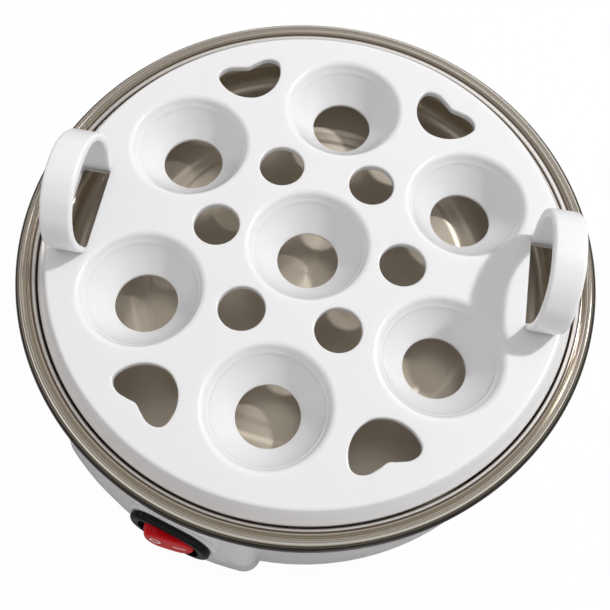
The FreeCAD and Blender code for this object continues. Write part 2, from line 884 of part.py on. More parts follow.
# The switch body: oblong bezel, deep case with an open front and sockets for the rocker pins.
def switch_body():
    corner = bezel_width / 2.1
    bezel = plate(bezel_length, bezel_width, corner, 0, bezel_thick)
    soft = edges_at(bezel, lambda e: e.BoundBox.ZMin > bezel_thick - 0.01)
    bezel = bezel.makeFillet(1.2, soft)
    case = plate(body_length, body_width, 0.9, -body_depth, 0)
    body = bezel.fuse(case)
    inner_width = body_width - 2 * body_wall
    length = 2 * (rocker_end + fit_gap)
    hollow = plate(length, inner_width, 1.0, -body_depth + body_floor, bezel_thick + 1)
    mouth = plate(length, rocker_width + 2 * close_gap, rocker_width / 2.1, -0.6, bezel_thick + 1)
    dish = plate(length + 1.6, rocker_width + 2.2, (rocker_width + 2.2) / 2.1, bezel_thick - 0.7, bezel_thick + 1)
    body = body.cut(hollow.fuse([mouth, dish]))
    pin = Part.makeCylinder(pin_radius + 0.05, body_width, V(0, -body_width / 2, rocker_pivot), V(0, 1, 0))
    slots = [block(x - 2.6, x + 2.6, -0.5, 0.5, -body_depth - 1, -body_depth + body_floor + 1) for x in blade_row()]
    body = body.cut(Part.makeCompound([pin] + slots))
    wings = []
    for side in (-1, 1):
        wing = [
            (side * body_length / 2, -4.6),
            (side * (body_length / 2 + 1.1), -4.6),
            (side * body_length / 2, -10.0),
            (side * body_length / 2, -4.6),
        ]
        face = Part.Face(Part.makePolygon([upright(u, v) for u, v in wing]))
        face.translate(V(0, -2, 0))
        wings.append(face.extrude(V(0, 4, 0)))
    return body.fuse(wings)


def blade_row():
    return (-6.2, 0.0, 6.2)


# The rocker in its level pose: boat-shaped crown, round ends about the pivot, hub and two pins.
def rocker_level():
    slope = math.tan(math.radians(rocker_vee))
    end_top = rocker_crown + rocker_end * slope
    low = -3.2
    side = [
        (-rocker_end - 1, low),
        (rocker_end + 1, low),
        (rocker_end + 1, end_top + slope),
        (0, rocker_crown),
        (-rocker_end - 1, end_top + slope),
        (-rocker_end - 1, low),
    ]
    face = Part.Face(Part.makePolygon([upright(u, v) for u, v in side]))
    face.translate(V(0, -rocker_width / 2, 0))
    crown = face.extrude(V(0, rocker_width, 0))
    drum = Part.makeCylinder(rocker_end, rocker_width, V(0, -rocker_width / 2, rocker_pivot), V(0, 1, 0))
    outline = plate(2 * rocker_end, rocker_width, rocker_width / 2.1, low, 2 * rocker_end)
    crown = crown.common(drum).common(outline)
    step = 1.0
    deep = plate(2 * rocker_end, body_width - 2 * body_wall - 2 * close_gap, 1.0, low, step)
    top = plate(3 * rocker_end, rocker_width, 0.1, step, 2 * rocker_end)
    crown = crown.common(deep.fuse(top))
    hub = plate(5.0, body_width - 2 * body_wall - 2 * close_gap, 0.5, -6.2, low)
    bore = cylinder(1.6, -6.2, -2.2)
    crown = crown.fuse(hub).cut(bore)
    pins = []
    inner = body_width / 2 - body_wall
    for side in (-1, 1):
        start = V(0, side * (inner - 1.2), rocker_pivot)
        pins.append(Part.makeCylinder(pin_radius, 1.2 + body_wall - 0.2, start, V(0, side, 0)))
    return crown.fuse(pins)


# Turns a rocker part from level to the pressed pose of the photo.
def pressed(shape):
    copy = shape.copy()
    copy.rotate(V(0, 0, rocker_pivot), V(0, 1, 0), rocker_tilt)
    return copy


def plunger_level():
    tip = Part.makeSphere(1.3, V(0, 0, -7.4))
    return cylinder(1.3, -7.4, -5.0).fuse(tip)


def spring_level():
    helix = Part.makeHelix(0.85, 2.6, 1.0)
    start = Part.Wire([Part.Circle(V(1.0, 0, 0), V(0, 1, 0), 0.2).toShape()])
    spring = Part.Wire(helix.Edges).makePipeShell([start], True, True)
    spring.translate(V(0, 0, -4.9))
    return spring


def arm_pivot():
    return rocker_pivot - 9.2


# The see-saw contact arm, a bent strip on its fulcrum, in its level pose.
def arm_level():
    pivot = arm_pivot()
    points = [
        (-6.6, pivot + 0.6, 0),
        (-6.6, pivot + 0.1, 0),
        (-2.4, pivot + 0.1, 0.3),
        (-1.2, pivot + 0.5, 0.3),
        (1.2, pivot + 0.5, 0.3),
        (2.4, pivot + 0.1, 0.3),
        (6.6, pivot + 0.1, 0),
        (6.6, pivot + 0.6, 0),
        (1.6, pivot + 1.1, 0.3),
        (-1.6, pivot + 1.1, 0.3),
    ]
    face = Part.Face(rounded(points, upright))
    face.translate(V(0, -1.4, 0))
    arm = face.extrude(V(0, 2.8, 0))
    button = cylinder(1.1, pivot - 0.7, pivot + 0.1, 5.4, 0)
    return arm.fuse(button)


def contact_arm():
    arm = arm_level()
    arm.rotate(V(0, 0, arm_pivot()), V(0, 1, 0), -rocker_tilt * arm_ratio)
    return arm


# The three switch blades: fulcrum in the middle, fixed contact at one side, lamp blade at the other.
def switch_blades():
    floor = -body_depth + body_floor
    made = []
    for x in blade_row():
        blade = block(x - blade_width / 2, x + blade_width / 2, -0.4, 0.4, -body_depth - 8.0, floor)
        eye = Part.makeCylinder(0.8, 3, V(x, -1.5, -body_depth - 5.5), V(0, 1, 0))
        made.append(blade.cut(eye))
    pivot = arm_pivot()
    post = block(-0.6, 0.6, -1.4, 1.4, floor, pivot + 0.2)
    made[1] = made[1].fuse(post)
    pad = cylinder(1.3, floor, pivot - 1.5, blade_row()[2], 0)
    made[2] = made[2].fuse(pad)
    return Part.makeCompound(made)


def neon_lamp():
    floor = -body_depth + body_floor
    lamp = cylinder(1.4, floor, -6.6, -5.0, 3.0)
    top = edges_at(lamp, lambda e: e.BoundBox.ZMin > -6.61)
    return lamp.makeFillet(1.2, top)


# The strain bush in the rear wall: threaded tail, flange and tapered collar round the bore for a lead.
def cord_bushing():
    share = (gland_height - cover_low) / (housing_top - cover_low)
    face = housing_bottom_radius - (housing_bottom_radius - housing_top_radius) * share
    seat = face + close_gap
    points = [
        (gland_bore, face - gland_tail, 0.4),
        (gland_radius, face - gland_tail, 0.8),
        (gland_radius, seat, 0),
        (gland_flange, seat, 0.4),
        (gland_flange, seat + 2.2, 0.8),
        (gland_radius + 0.6, seat + 2.2, 0.4),
        (gland_radius - 0.4, gland_reach, 0.6),
        (gland_bore, gland_reach, 0.6),
    ]
    bush = turned(points)
    bush.rotate(V(0, 0, 0), V(1, 0, 0), -90)
    bush.translate(V(0, 0, gland_height))
    return bush


def bushing_nut():
    inner = housing_top_radius - housing_wall - 3.4
    nut = hexagon(gland_radius + 1.8, 0, 2.6)
    nut = nut.cut(cylinder(gland_radius + 0.1, 0, 2.6))
    nut.rotate(V(0, 0, 0), V(1, 0, 0), -90)
    nut.translate(V(0, inner - 0.2, gland_height))
    return nut


# A three-way screw block on the floor cover where a lead would be joined.
def terminal_block():
    low = cover_top
    body = plate(block_length, block_width, 1.0, low, low + block_height, 0, block_y)
    cuts = []
    for x in block_row():
        cuts.append(cylinder(2.4, low + block_height - 3.0, low + block_height + 1, x, block_y))
        tube = Part.makeCylinder(1.7, block_width + 2, V(x, block_y - block_width / 2 - 1, low + 3.4), V(0, 1, 0))
        cuts.append(tube)
    return body.cut(Part.makeCompound(cuts))


def block_row():
    return (-7.5, 0.0, 7.5)


def block_screws():
    low = cover_top + block_height - 3.0
    made = []
    for x in block_row():
        screw = cylinder(2.1, low, low + 1.6, x, block_y)
        cut = block(x - 2.2, x + 2.2, block_y - 0.4, block_y + 0.4, low + 0.9, low + 2)
        made.append(screw.cut(cut))
    return Part.makeCompound(made)


# The top of each sleeve under the plate and its turn about the vertical.
def sleeve_spots():
    low = plate_under - cap_height - thermostat_body
    spots = [(V(x, y, low - 1.0), 90.0) for x, y in thermostat_blade_spots()]
    spots += [(V(at.x, at.y, at.z - 3.4), 0.0) for at in leg_points()]
    return spots


# Soft sleeves over the push-on connectors.
def blade_sleeves():
    made = []
    for at, angle in sleeve_spots():
        sleeve = plate(blade_width + 2.4, 3.4, 1.2, -sleeve_length, 0)
        sleeve = sleeve.cut(plate(blade_width + 0.6, 1.4, 0.2, 1.5 - sleeve_length, 1))
        sleeve.rotate(V(0, 0, 0), V(0, 0, 1), angle)
        sleeve.translate(at)
        made.append(sleeve)
    top = -body_depth - 0.8
    for x in blade_row():
        sleeve = plate(blade_width + 1.0, 3.4, 1.2, top - sleeve_length - 1.2, top, x)
        slot = plate(blade_width + 0.4, 1.3, 0.2, top - sleeve_length + 0.3, top + 1, x)
        made.append(on_pod(sleeve.cut(slot)))
    return Part.makeCompound(made)


# Points just off the far ends of the sleeves: two cold ends, two tube legs, three switch poles.
def wire_ends():
    gap = close_gap
    ends = [at + V(0, 0, -sleeve_length - gap) for at, angle in sleeve_spots()]
    for x in blade_row():
        tip = Part.Vertex(V(x, 0, -body_depth - sleeve_length - 2.0 - gap))
        ends.append(on_pod(tip).Point)
    return ends


# The leads: every run is listed from its first end to its last with the way it leaves and arrives.
def lead_wires():
    cold_left, cold_right, leg_left, leg_right, pole_left, pole_mid, pole_right = wire_ends()
    up = V(0, 0, 1)
    down = V(0, 0, -1)
    inward = V(0, -1, 0)
    a = math.radians(switch_lean)
    into_pole = V(0, -math.cos(a), math.sin(a))
    front = block_y - block_width / 2 - close_gap
    left, mid, right = [V(x, front, cover_top + 3.4) for x in block_row()]
    fuse = fuse_axis()
    fuse_left = V(-fuse_half - close_gap, fuse.y, fuse.z)
    fuse_right = V(fuse_half + close_gap, fuse.y, fuse.z)
    tail = math.radians(-150)
    lug_way = V(math.cos(tail), math.sin(tail), 0)
    lug_level = lug_top - lug_thick - 1.5 * washer_thick
    lug_end = V(0, stud_pitch, lug_level) + lug_way * (13.0 + close_gap)
    runs = [
        (left, [V(-20, 26, 10), V(-34, -4, 10), V(-22, -38, 13)], pole_mid, inward, into_pole),
        (pole_right, [V(15, -38, 20), V(14, -14, 15), V(9, -3, 12)], cold_right, into_pole * -1, up),
        (cold_left, [V(-12, 10, 13.5), V(-22, 28, 18), V(-22, 38, 27)], fuse_left, down, V(1, 0, 0)),
        (fuse_right, [V(24, 38, 24), V(34, 18, 14), V(29, -18, 12), V(14, -33.5, 9.6)], leg_right, V(1, 0, 0), up),
        (leg_left, [V(-14, -27, 10), V(-19, -8, 8.6), V(-14, 16, 8.4), V(-2, 34, 8.4)], mid, down, V(0, 1, 0)),
        (right, [V(9, 36, 11), V(-2, 30, 18), V(-16, 38, 21)], lug_end, inward, lug_way * -1),
    ]
    made = []
    for start, between, end, leave, reach in runs:
        made.append(lead([start] + between + [end], leave, reach))
    return Part.makeCompound(made)


def build_all():
    os.makedirs("parts", exist_ok=True)
    nodes = {
        "egg_tray": egg_tray(),
        "heating_pan": heating_pan(),
        "rim_seal": rim_seal(),
        "base_housing": base_housing(),
        "bottom_cover": bottom_cover(),
        "cover_screws": cover_screws(),
        "rubber_feet": rubber_feet(),
        "heat_spreader": heat_spreader(),
        "heating_element": heating_element(),
        "element_beads": element_beads(),
        "element_tabs": element_tabs(),
        "thermostat_cap": thermostat_cap(),
        "thermostat_body": thermostat_body_part(),
        "thermostat_blades": thermostat_blades(),
        "thermostat_bracket": thermostat_bracket(),
        "plate_screws": plate_screws(),
        "fuse_sleeve": fuse_sleeve(),
        "fuse_clip": fuse_clip(),
        "pan_studs": pan_studs(),
        "stud_washers": stud_washers(),
        "stud_nuts": stud_nuts(),
        "earth_lug": earth_lug(),
        "switch_body": on_pod(switch_body()),
        "switch_rocker": on_pod(pressed(rocker_level())),
        "rocker_plunger": on_pod(pressed(plunger_level())),
        "rocker_spring": on_pod(pressed(spring_level())),
        "contact_arm": on_pod(contact_arm()),
        "switch_blades": on_pod(switch_blades()),
        "neon_lamp": on_pod(neon_lamp()),
        "cord_bushing": cord_bushing(),
        "bushing_nut": bushing_nut(),
        "terminal_block": terminal_block(),
        "block_screws": block_screws(),
        "blade_sleeves": blade_sleeves(),
        "lead_wires": lead_wires(),
    }
    for name, shape in nodes.items():
        shape.exportStep("parts/" + name + ".step")
        print(name, "solids", len(shape.Solids), "valid", shape.isValid(), "volume", round(shape.Volume, 1))


build_all()
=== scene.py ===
import bpy
import bmesh
import json
import math
import numpy as np
from mathutils import Matrix


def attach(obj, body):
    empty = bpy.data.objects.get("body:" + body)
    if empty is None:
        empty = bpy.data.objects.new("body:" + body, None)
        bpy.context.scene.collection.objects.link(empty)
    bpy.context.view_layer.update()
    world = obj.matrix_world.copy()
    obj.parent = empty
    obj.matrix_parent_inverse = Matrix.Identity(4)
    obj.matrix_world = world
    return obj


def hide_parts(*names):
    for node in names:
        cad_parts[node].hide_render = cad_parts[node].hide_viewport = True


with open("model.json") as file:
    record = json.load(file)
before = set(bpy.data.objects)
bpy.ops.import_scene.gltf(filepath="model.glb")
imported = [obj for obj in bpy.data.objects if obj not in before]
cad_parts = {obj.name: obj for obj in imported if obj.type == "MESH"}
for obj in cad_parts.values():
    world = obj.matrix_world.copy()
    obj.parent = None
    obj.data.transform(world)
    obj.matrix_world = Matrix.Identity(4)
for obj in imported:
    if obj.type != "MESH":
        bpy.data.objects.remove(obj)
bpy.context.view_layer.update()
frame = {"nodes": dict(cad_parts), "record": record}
mm = 0.001


# Meshes worked out with numpy.

cleaning = {"doubles": 2e-6, "slivers": 1e-7}


def meshPiece(name, verts, faces, body, slot, angle, finish=None):
    # a new mesh piece: doubles merged, faces turned outwards, smooth except over edges sharper than the angle
    mesh = bpy.data.meshes.new(name)
    mesh.from_pydata(np.asarray(verts, float).tolist(), [], [list(map(int, f)) for f in faces])
    return finishMesh(name, mesh, body, angle, True, finish or slot)


def finishMesh(name, mesh, body, angle, outward, finish):
    # cleans the mesh, marks its sharp edges and makes it a piece with its body, slot and finish
    bm = bmesh.new()
    bm.from_mesh(mesh)
    bmesh.ops.remove_doubles(bm, verts=bm.verts, dist=cleaning["doubles"])
    bmesh.ops.dissolve_degenerate(bm, edges=bm.edges, dist=cleaning["slivers"])
    if outward:
        bmesh.ops.recalc_face_normals(bm, faces=bm.faces)
    limit = math.radians(angle)
    for edge in bm.edges:
        edge.smooth = len(edge.link_faces) == 2 and edge.calc_face_angle(0.0) < limit
    for face in bm.faces:
        face.smooth = True
    bm.to_mesh(mesh)
    bm.free()
    piece = bpy.data.objects.new(name, mesh)
    bpy.context.scene.collection.objects.link(piece)
    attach(piece, body)
    mesh.materials.append(finishes[finish])
    return piece


def evenNormals(piece, weight):
    weighted = piece.modifiers.new("evenNormals", "WEIGHTED_NORMAL")
    weighted.keep_sharp = True
    weighted.weight = weight


def smoothTwin(node, name, look):
    # a merged copy of a CAD node of the base with smooth shading, standing for that node
    mesh = frame["nodes"][node].data.copy()
    mesh.materials.clear()
    if mesh.has_custom_normals:
        mesh.attributes.remove(mesh.attributes["custom_normal"])
    twin = finishMesh(name, mesh, "base", look["creaseAngle"], False, slotOf[node])
    evenNormals(twin, look["normalWeight"])
    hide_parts(node)


def softPath(points, steps=6):
    # a polyline through (u, v, radius) points: each corner becomes an arc of its radius, tangent to both sides
    out = []
    last = len(points) - 1
    for i, (u, v, radius) in enumerate(points):
        corner = np.array([u, v], float)
        if radius <= 0 or i in (0, last):
            out.append(corner[None])
            continue
        back = np.array(points[i - 1][:2], float) - corner
        ahead = np.array(points[i + 1][:2], float) - corner
        back /= np.hypot(*back)
        ahead /= np.hypot(*ahead)
        half = math.acos(np.clip(back @ ahead, -1, 1)) / 2
        reach = radius / math.tan(half)
        middle = corner + (back + ahead) / np.hypot(*(back + ahead)) * radius / math.sin(half)
        start = corner + back * reach - middle
        stop = corner + ahead * reach - middle
        a0 = math.atan2(start[1], start[0])
        sweep = (math.atan2(stop[1], stop[0]) - a0 + math.pi) % (2 * math.pi) - math.pi
        a = a0 + sweep * np.linspace(0, 1, steps + 1)
        out.append(middle + radius * np.stack([np.cos(a), np.sin(a)], 1))
    return np.concatenate(out)


def turnedGrid(line, turns, x=0.0, y=0.0):
    # a line of (r, z) turned about an upright axis at (x, y): point = (x + r cos a, y + r sin a, z)
    a = np.linspace(0, 2 * np.pi, turns, endpoint=False)
    r, z = line[:, 0], line[:, 1]
    return np.stack([x + np.outer(r, np.cos(a)), y + np.outer(r, np.sin(a)), np.outer(z, np.ones(turns))], -1)


def turnedSheet(line, gauge, turns):
    # a sheet of even gauge: the line and its copy, moved along the normals by the gauge, turned as one closed loop
    step = np.gradient(line, axis=0)
    normal = np.stack([step[:, 1], -step[:, 0]], 1)
    normal /= np.hypot(normal[:, 0], normal[:, 1])[:, None]
    normal[0] = (0, -1)
    loop = np.concatenate([line, (line + normal * gauge)[::-1]])
    return turnedGrid(loop, turns).reshape(-1, 3), gridFaces(len(loop), turns, True, True)


def gridFaces(rows, columns, closedRows, closedColumns):
    # quads over a grid of rows and columns, joined round where asked
    i = np.arange(rows if closedRows else rows - 1)
    j = np.arange(columns if closedColumns else columns - 1)
    i, j = np.meshgrid(i, j, indexing="ij")
    i2, j2 = (i + 1) % rows, (j + 1) % columns
    quads = np.stack([i * columns + j, i * columns + j2, i2 * columns + j2, i2 * columns + j], -1)
    return quads.reshape(-1, 4)


# Materials.

def newMaterial(name, **values):
    # a material with its Principled shader, constants set on the sockets
    material = bpy.data.materials.new(name)
    material.use_nodes = True
    tree = material.node_tree
    shader = next(n for n in tree.nodes if n.type == "BSDF_PRINCIPLED")
    for key, value in values.items():
        socket = shader.inputs[socketNames[key]]
        socket.default_value = (*value, 1) if isinstance(value, tuple) and len(value) == 3 else value
    return material, tree, shader


socketNames = {
    "metal": "Metallic", "rough": "Roughness", "ior": "IOR", "gloss": "Specular IOR Level", "coat": "Coat Weight",
    "coatRough": "Coat Roughness", "grain": "Anisotropic", "through": "Transmission Weight",
    "inside": "Subsurface Weight", "reach": "Subsurface Scale", "blend": "Subsurface Radius",
}


def add(tree, kind, links=None, **settings):
    # one node; links go from its input names to sockets, settings to its own values
    node = tree.nodes.new(kind)
    for key, value in settings.items():
        setattr(node, key, value)
    for key, value in (links or {}).items():
        socket = node.inputs[key]
        if isinstance(value, bpy.types.NodeSocket):
            tree.links.new(value, socket)
        else:
            socket.default_value = value
    return node


def math2(tree, operation, a, b=0.0, c=0.0):
    return add(tree, "ShaderNodeMath", {0: a, 1: b, 2: c}, operation=operation).outputs[0]


def newGroup(name, inputs, outputs):
    # a node group with named number inputs and outputs
    group = bpy.data.node_groups.new(name, "ShaderNodeTree")
    for key, value in inputs.items():
        socket = group.interface.new_socket(name=key, in_out="INPUT", socket_type="NodeSocketFloat")
        socket.default_value = value
    for key in outputs:
        group.interface.new_socket(name=key, in_out="OUTPUT", socket_type="NodeSocketFloat")
    return group, group.nodes.new("NodeGroupInput").outputs, group.nodes.new("NodeGroupOutput").inputs


def place(tree, group, **values):
    node = tree.nodes.new("ShaderNodeGroup")
    node.node_tree = group
    for key, value in values.items():
        node.inputs[key].default_value = value
    return node.outputs


def mixColour(tree, share, first, second):
    node = add(tree, "ShaderNodeMix", data_type="RGBA")
    tree.links.new(share, node.inputs[0])
    for socket, value in ((node.inputs[6], first), (node.inputs[7], second)):
        if isinstance(value, bpy.types.NodeSocket):
            tree.links.new(value, socket)
        else:
            socket.default_value = (*value, 1)
    return node.outputs[2]


def ranged(tree, value, span, out=(0.0, 1.0)):
    # a value's span mapped on to another, held at its ends
    return add(tree, "ShaderNodeMapRange", {0: value, 1: span[0], 2: span[1], 3: out[0], 4: out[1]}).outputs[0]


def triple(tree, x, y, z):
    return add(tree, "ShaderNodeCombineXYZ", {0: x, 1: y, 2: z}).outputs[0]


def noise(tree, spot, scale, detail, **more):
    return add(tree, "ShaderNodeTexNoise", {"Vector": spot, "Scale": scale, "Detail": detail, **more}).outputs[0]


def setRamp(ramp, tones):
    # a colour ramp from pairs of place and colour
    while len(ramp.elements) < len(tones):
        ramp.elements.new(0.5)
    for element, (spot, tone) in zip(ramp.elements, tones):
        element.position = spot
        element.color = (*tone, 1)


def bump(tree, shader, height, strength, distance):
    node = add(tree, "ShaderNodeBump", {"Height": height, "Strength": strength, "Distance": distance})
    tree.links.new(node.outputs[0], shader.inputs["Normal"])


grainLook = {
    "fineShare": 0.25, "fineDetail": 3.0, "slowDetail": 1.0,
    "ringDetail": 4.0, "ringContrast": 0.65, "sweepRings": 90.0, "sweepDetail": 2.0,
    "turnScale": 3.0, "turnDetail": 3.0,
    "markTurn": (0.3, 0.2, 0.7), "markStretch": (1.0, 9.0, 1.0), "markDetail": 2.0, "markWidth": 0.006,
    "patchScale": 35.0, "patchDetail": 1.0, "patchSpan": (0.56, 0.62),
}


def mouldGrainGroup():
    # moulded skin: slow waviness, and fine grain over it
    look = grainLook
    group, given, out = newGroup("mouldGrain", {"Scale": 900.0, "Waves": 60.0}, ["Height", "Tone"])
    spot = add(group, "ShaderNodeTexCoord").outputs["Object"]
    fine = noise(group, spot, given["Scale"], look["fineDetail"])
    slow = noise(group, spot, given["Waves"], look["slowDetail"])
    group.links.new(math2(group, "MULTIPLY_ADD", fine, look["fineShare"], slow), out["Height"])
    group.links.new(slow, out["Tone"])
    return group


def turnedGrainGroup():
    # brushing in rings: noise read at (radius, a little of the angle), with broad sweeps round the plate
    look = grainLook
    group, given, out = newGroup("turnedGrain", {"Rings": 2600.0, "Sweeps": 1.3}, ["Height", "Tone", "Sweep"])
    spot = add(group, "ShaderNodeTexCoord").outputs["Object"]
    x, y, z = add(group, "ShaderNodeSeparateXYZ", {0: spot}).outputs
    square = math2(group, "ADD", math2(group, "MULTIPLY", x, x), math2(group, "MULTIPLY", y, y))
    radius = math2(group, "SQRT", square)
    angle = math2(group, "ARCTAN2", y, x)
    sine, cosine = math2(group, "SINE", angle), math2(group, "COSINE", angle)
    across = triple(group, math2(group, "MULTIPLY", radius, given["Rings"]), angle, z)
    wide = triple(group, math2(group, "MULTIPLY", radius, look["sweepRings"]), sine, cosine)
    circle = triple(group, sine, cosine, 0.0)
    rings = noise(group, across, 1.0, look["ringDetail"], Roughness=look["ringContrast"])
    group.links.new(rings, out["Height"])
    group.links.new(noise(group, wide, given["Sweeps"], look["sweepDetail"]), out["Tone"])
    group.links.new(noise(group, circle, look["turnScale"], look["turnDetail"]), out["Sweep"])
    return group


def fineMarksGroup():
    # sparse hair-fine marks: the thin crests of stretched noise, where a wider noise lets them through
    look = grainLook
    group, given, out = newGroup("fineMarks", {"Scale": 60.0, "Amount": 0.5}, ["Mask"])
    spot = add(group, "ShaderNodeTexCoord").outputs["Object"]
    lean = add(group, "ShaderNodeMapping", {"Vector": spot, "Rotation": look["markTurn"], "Scale": look["markStretch"]})
    lines = noise(group, lean.outputs[0], given["Scale"], look["markDetail"])
    crest = math2(group, "ABSOLUTE", math2(group, "SUBTRACT", lines, 0.5))
    thin = ranged(group, crest, (0.0, look["markWidth"]), (1.0, 0.0))
    let = ranged(group, noise(group, spot, look["patchScale"], look["patchDetail"]), look["patchSpan"])
    group.links.new(math2(group, "MULTIPLY", math2(group, "MULTIPLY", thin, let), given["Amount"]), out["Mask"])
    return group


mouldGrain = mouldGrainGroup()
turnedGrain = turnedGrainGroup()
fineMarks = fineMarksGroup()

plasticLook = {"roughSpan": (0.8, 1.25), "markDulls": 0.25, "bump": 0.25}
metalLook = {"waves": 220.0, "darker": 0.8, "roughSpan": (0.7, 1.4), "bump": 0.3, "depth": 0.00002}


def scaled(value, shares):
    return tuple(value * share for share in shares)


def mouldedPlastic(name, colour, rough, scale=900.0, depth=0.00002, coat=0.0, marks=0.4, shade=0.94, **more):
    # moulded plastic: tone and roughness wander a little, fine marks dull the gloss
    look = plasticLook
    material, tree, shader = newMaterial(name, rough=rough, coat=coat, **more)
    grain = place(tree, mouldGrain, Scale=scale)
    mark = place(tree, fineMarks, Amount=marks)["Mask"]
    darker = tuple(c * shade for c in colour)
    tree.links.new(mixColour(tree, grain["Tone"], darker, colour), shader.inputs["Base Color"])
    wander = ranged(tree, grain["Tone"], (0.0, 1.0), scaled(rough, look["roughSpan"]))
    tree.links.new(math2(tree, "MULTIPLY_ADD", mark, look["markDulls"], wander), shader.inputs["Roughness"])
    bump(tree, shader, grain["Height"], look["bump"], depth)
    return material


def rimPaintedShadeAndShine(tree, spot, height, sweep, look):
    # the rolled rim by its radius: painted shade in the folds, painted highlights on the crests; the outer wall painted
    # dark as a dark reflection, with paler stretches of painted reflection
    flat = add(tree, "ShaderNodeVectorMath", {0: spot, 1: (1, 1, 0)}, operation="MULTIPLY").outputs[0]
    radius = add(tree, "ShaderNodeVectorMath", {0: flat}, operation="LENGTH").outputs["Value"]
    tones = add(tree, "ShaderNodeValToRGB", {0: ranged(tree, radius, look["rimSpan"])})
    # the ramp paints shade into the rim's folds and highlights on its crests
    setRamp(tones.color_ramp, look["rimPaintedShadeAndShine"])
    # the outer wall below the bead is painted dark as a reflection of shade, with paler patches of painted reflection
    wall = ranged(tree, height, look["wallBelow"], (1.0, 0.0))
    past = math2(tree, "GREATER_THAN", radius, look["wallPast"])
    paleReflectionShare = ranged(tree, sweep, look["wallPaintedReflectionPatches"])
    dark = mixColour(tree, paleReflectionShare, look["wallPaintedDarkReflection"], look["wallPaintedPaleReflection"])
    return mixColour(tree, math2(tree, "MULTIPLY", wall, past), tones.outputs[0], dark)


def panMetal(name, look):
    # pan steel: brushed in rings on the plate, polished above the ledge; the rim's colour is painted shade and painted
    # highlights, and the outer wall is painted darker as a dark reflection
    material, tree, shader = newMaterial(name, metal=1.0, rough=look["plateRough"], grain=look["grain"])
    grain = place(tree, turnedGrain, Rings=look["rings"])
    mark = place(tree, fineMarks, Amount=look["marks"])["Mask"]
    spot = add(tree, "ShaderNodeTexCoord").outputs["Object"]
    height = add(tree, "ShaderNodeSeparateXYZ", {0: spot}).outputs[2]
    polish = ranged(tree, height, look["polishFrom"])
    ringPart = math2(tree, "MULTIPLY", grain["Height"], 1.0 - look["sweepShare"])
    share = math2(tree, "MULTIPLY_ADD", grain["Tone"], look["sweepShare"], ringPart)
    plate = mixColour(tree, share, look["plateDark"], look["plateLight"])
    rim = rimPaintedShadeAndShine(tree, spot, height, grain["Sweep"], look)
    # above the ledge the base colour carries painted shade, painted highlights and a painted dark reflection
    tree.links.new(mixColour(tree, polish, plate, rim), shader.inputs["Base Color"])
    brushed = ranged(tree, grain["Sweep"], (0.0, 1.0), scaled(look["plateRough"], look["plateSpan"]))
    brushed = math2(tree, "MULTIPLY_ADD", mark, look["plateMarks"], brushed)
    worn = ranged(tree, grain["Sweep"], (0.0, 1.0), scaled(look["rimRough"], look["rimRoughSpan"]))
    worn = math2(tree, "MULTIPLY_ADD", mark, look["rimMarks"], worn)
    rough = add(tree, "ShaderNodeMix", {0: polish, 2: brushed, 3: worn}).outputs[0]
    tree.links.new(rough, shader.inputs["Roughness"])
    tree.links.new(ranged(tree, polish, (0.0, 1.0), (look["plateMetal"], 1.0)), shader.inputs["Metallic"])
    smoother = math2(tree, "MULTIPLY_ADD", polish, -look["rimSmooths"], 1.0)
    bump(tree, shader, math2(tree, "MULTIPLY", grain["Height"], smoother), look["bumpStrength"], look["bumpDepth"])
    ringwise = add(tree, "ShaderNodeTangent", direction_type="RADIAL", axis="Z").outputs[0]
    brush = {"Vector": ringwise, "Angle": look["brushTurn"]}
    turned = add(tree, "ShaderNodeVectorRotate", brush, rotation_type="Z_AXIS").outputs[0]
    tree.links.new(turned, shader.inputs["Tangent"])
    return material


def plainMetal(name, colour, rough, scale=1500.0):
    # small metal parts: cloudy tone, uneven polish
    look = metalLook
    material, tree, shader = newMaterial(name, metal=1.0, rough=rough)
    grain = place(tree, mouldGrain, Scale=scale, Waves=look["waves"])
    darker = tuple(c * look["darker"] for c in colour)
    tree.links.new(mixColour(tree, grain["Tone"], darker, colour), shader.inputs["Base Color"])
    uneven = ranged(tree, grain["Height"], (0.0, 1.0), scaled(rough, look["roughSpan"]))
    tree.links.new(uneven, shader.inputs["Roughness"])
    bump(tree, shader, grain["Height"], look["bump"], look["depth"])
    return material


# rim radii in metres; the rim's painted shade and highlights are pairs of a share of that span and a colour
panLook = {
    "plateDark": (0.50, 0.435, 0.35), "plateLight": (0.66, 0.595, 0.50), "sweepShare": 0.55,
    "plateRough": 0.36, "plateSpan": (0.85, 1.15), "plateMarks": 0.1, "plateMetal": 0.78,
    "rimRough": 0.13, "rimRoughSpan": (0.8, 1.3), "rimMarks": 0.06, "rimSmooths": 0.95,
    "rimSpan": (0.0766, 0.0826), "wallBelow": (0.0512, 0.0522), "wallPast": 0.0814, "wallPaintedReflectionPatches": (0.45, 0.68),
    # painted dark reflection of the outer wall, and its paler painted reflection
    "wallPaintedDarkReflection": (0.09, 0.08, 0.07), "wallPaintedPaleReflection": (0.40, 0.36, 0.31),
    # painted shade in the rim's folds and painted highlights on its crests, by radius
    "rimPaintedShadeAndShine": ((0.0, (0.08, 0.06, 0.045)), (0.07, (0.32, 0.25, 0.18)), (0.12, (0.97, 0.96, 0.94)),
                 (0.17, (0.95, 0.93, 0.90)), (0.21, (0.14, 0.10, 0.07)), (0.27, (0.14, 0.10, 0.07)),
                 (0.32, (0.97, 0.95, 0.92)), (0.38, (0.48, 0.43, 0.36)), (0.64, (0.58, 0.53, 0.46)),
                 (0.70, (0.96, 0.93, 0.87)), (0.76, (0.40, 0.36, 0.30)), (0.84, (0.17, 0.15, 0.13)),
                 (1.0, (0.07, 0.06, 0.055))),
    "grain": 0.55, "rings": 2200.0, "marks": 0.7, "polishFrom": (0.0450, 0.0462),
    "bumpStrength": 0.16, "bumpDepth": 0.00001, "brushTurn": math.radians(-10),
}
evenScatter = [1.0, 0.97, 0.93]

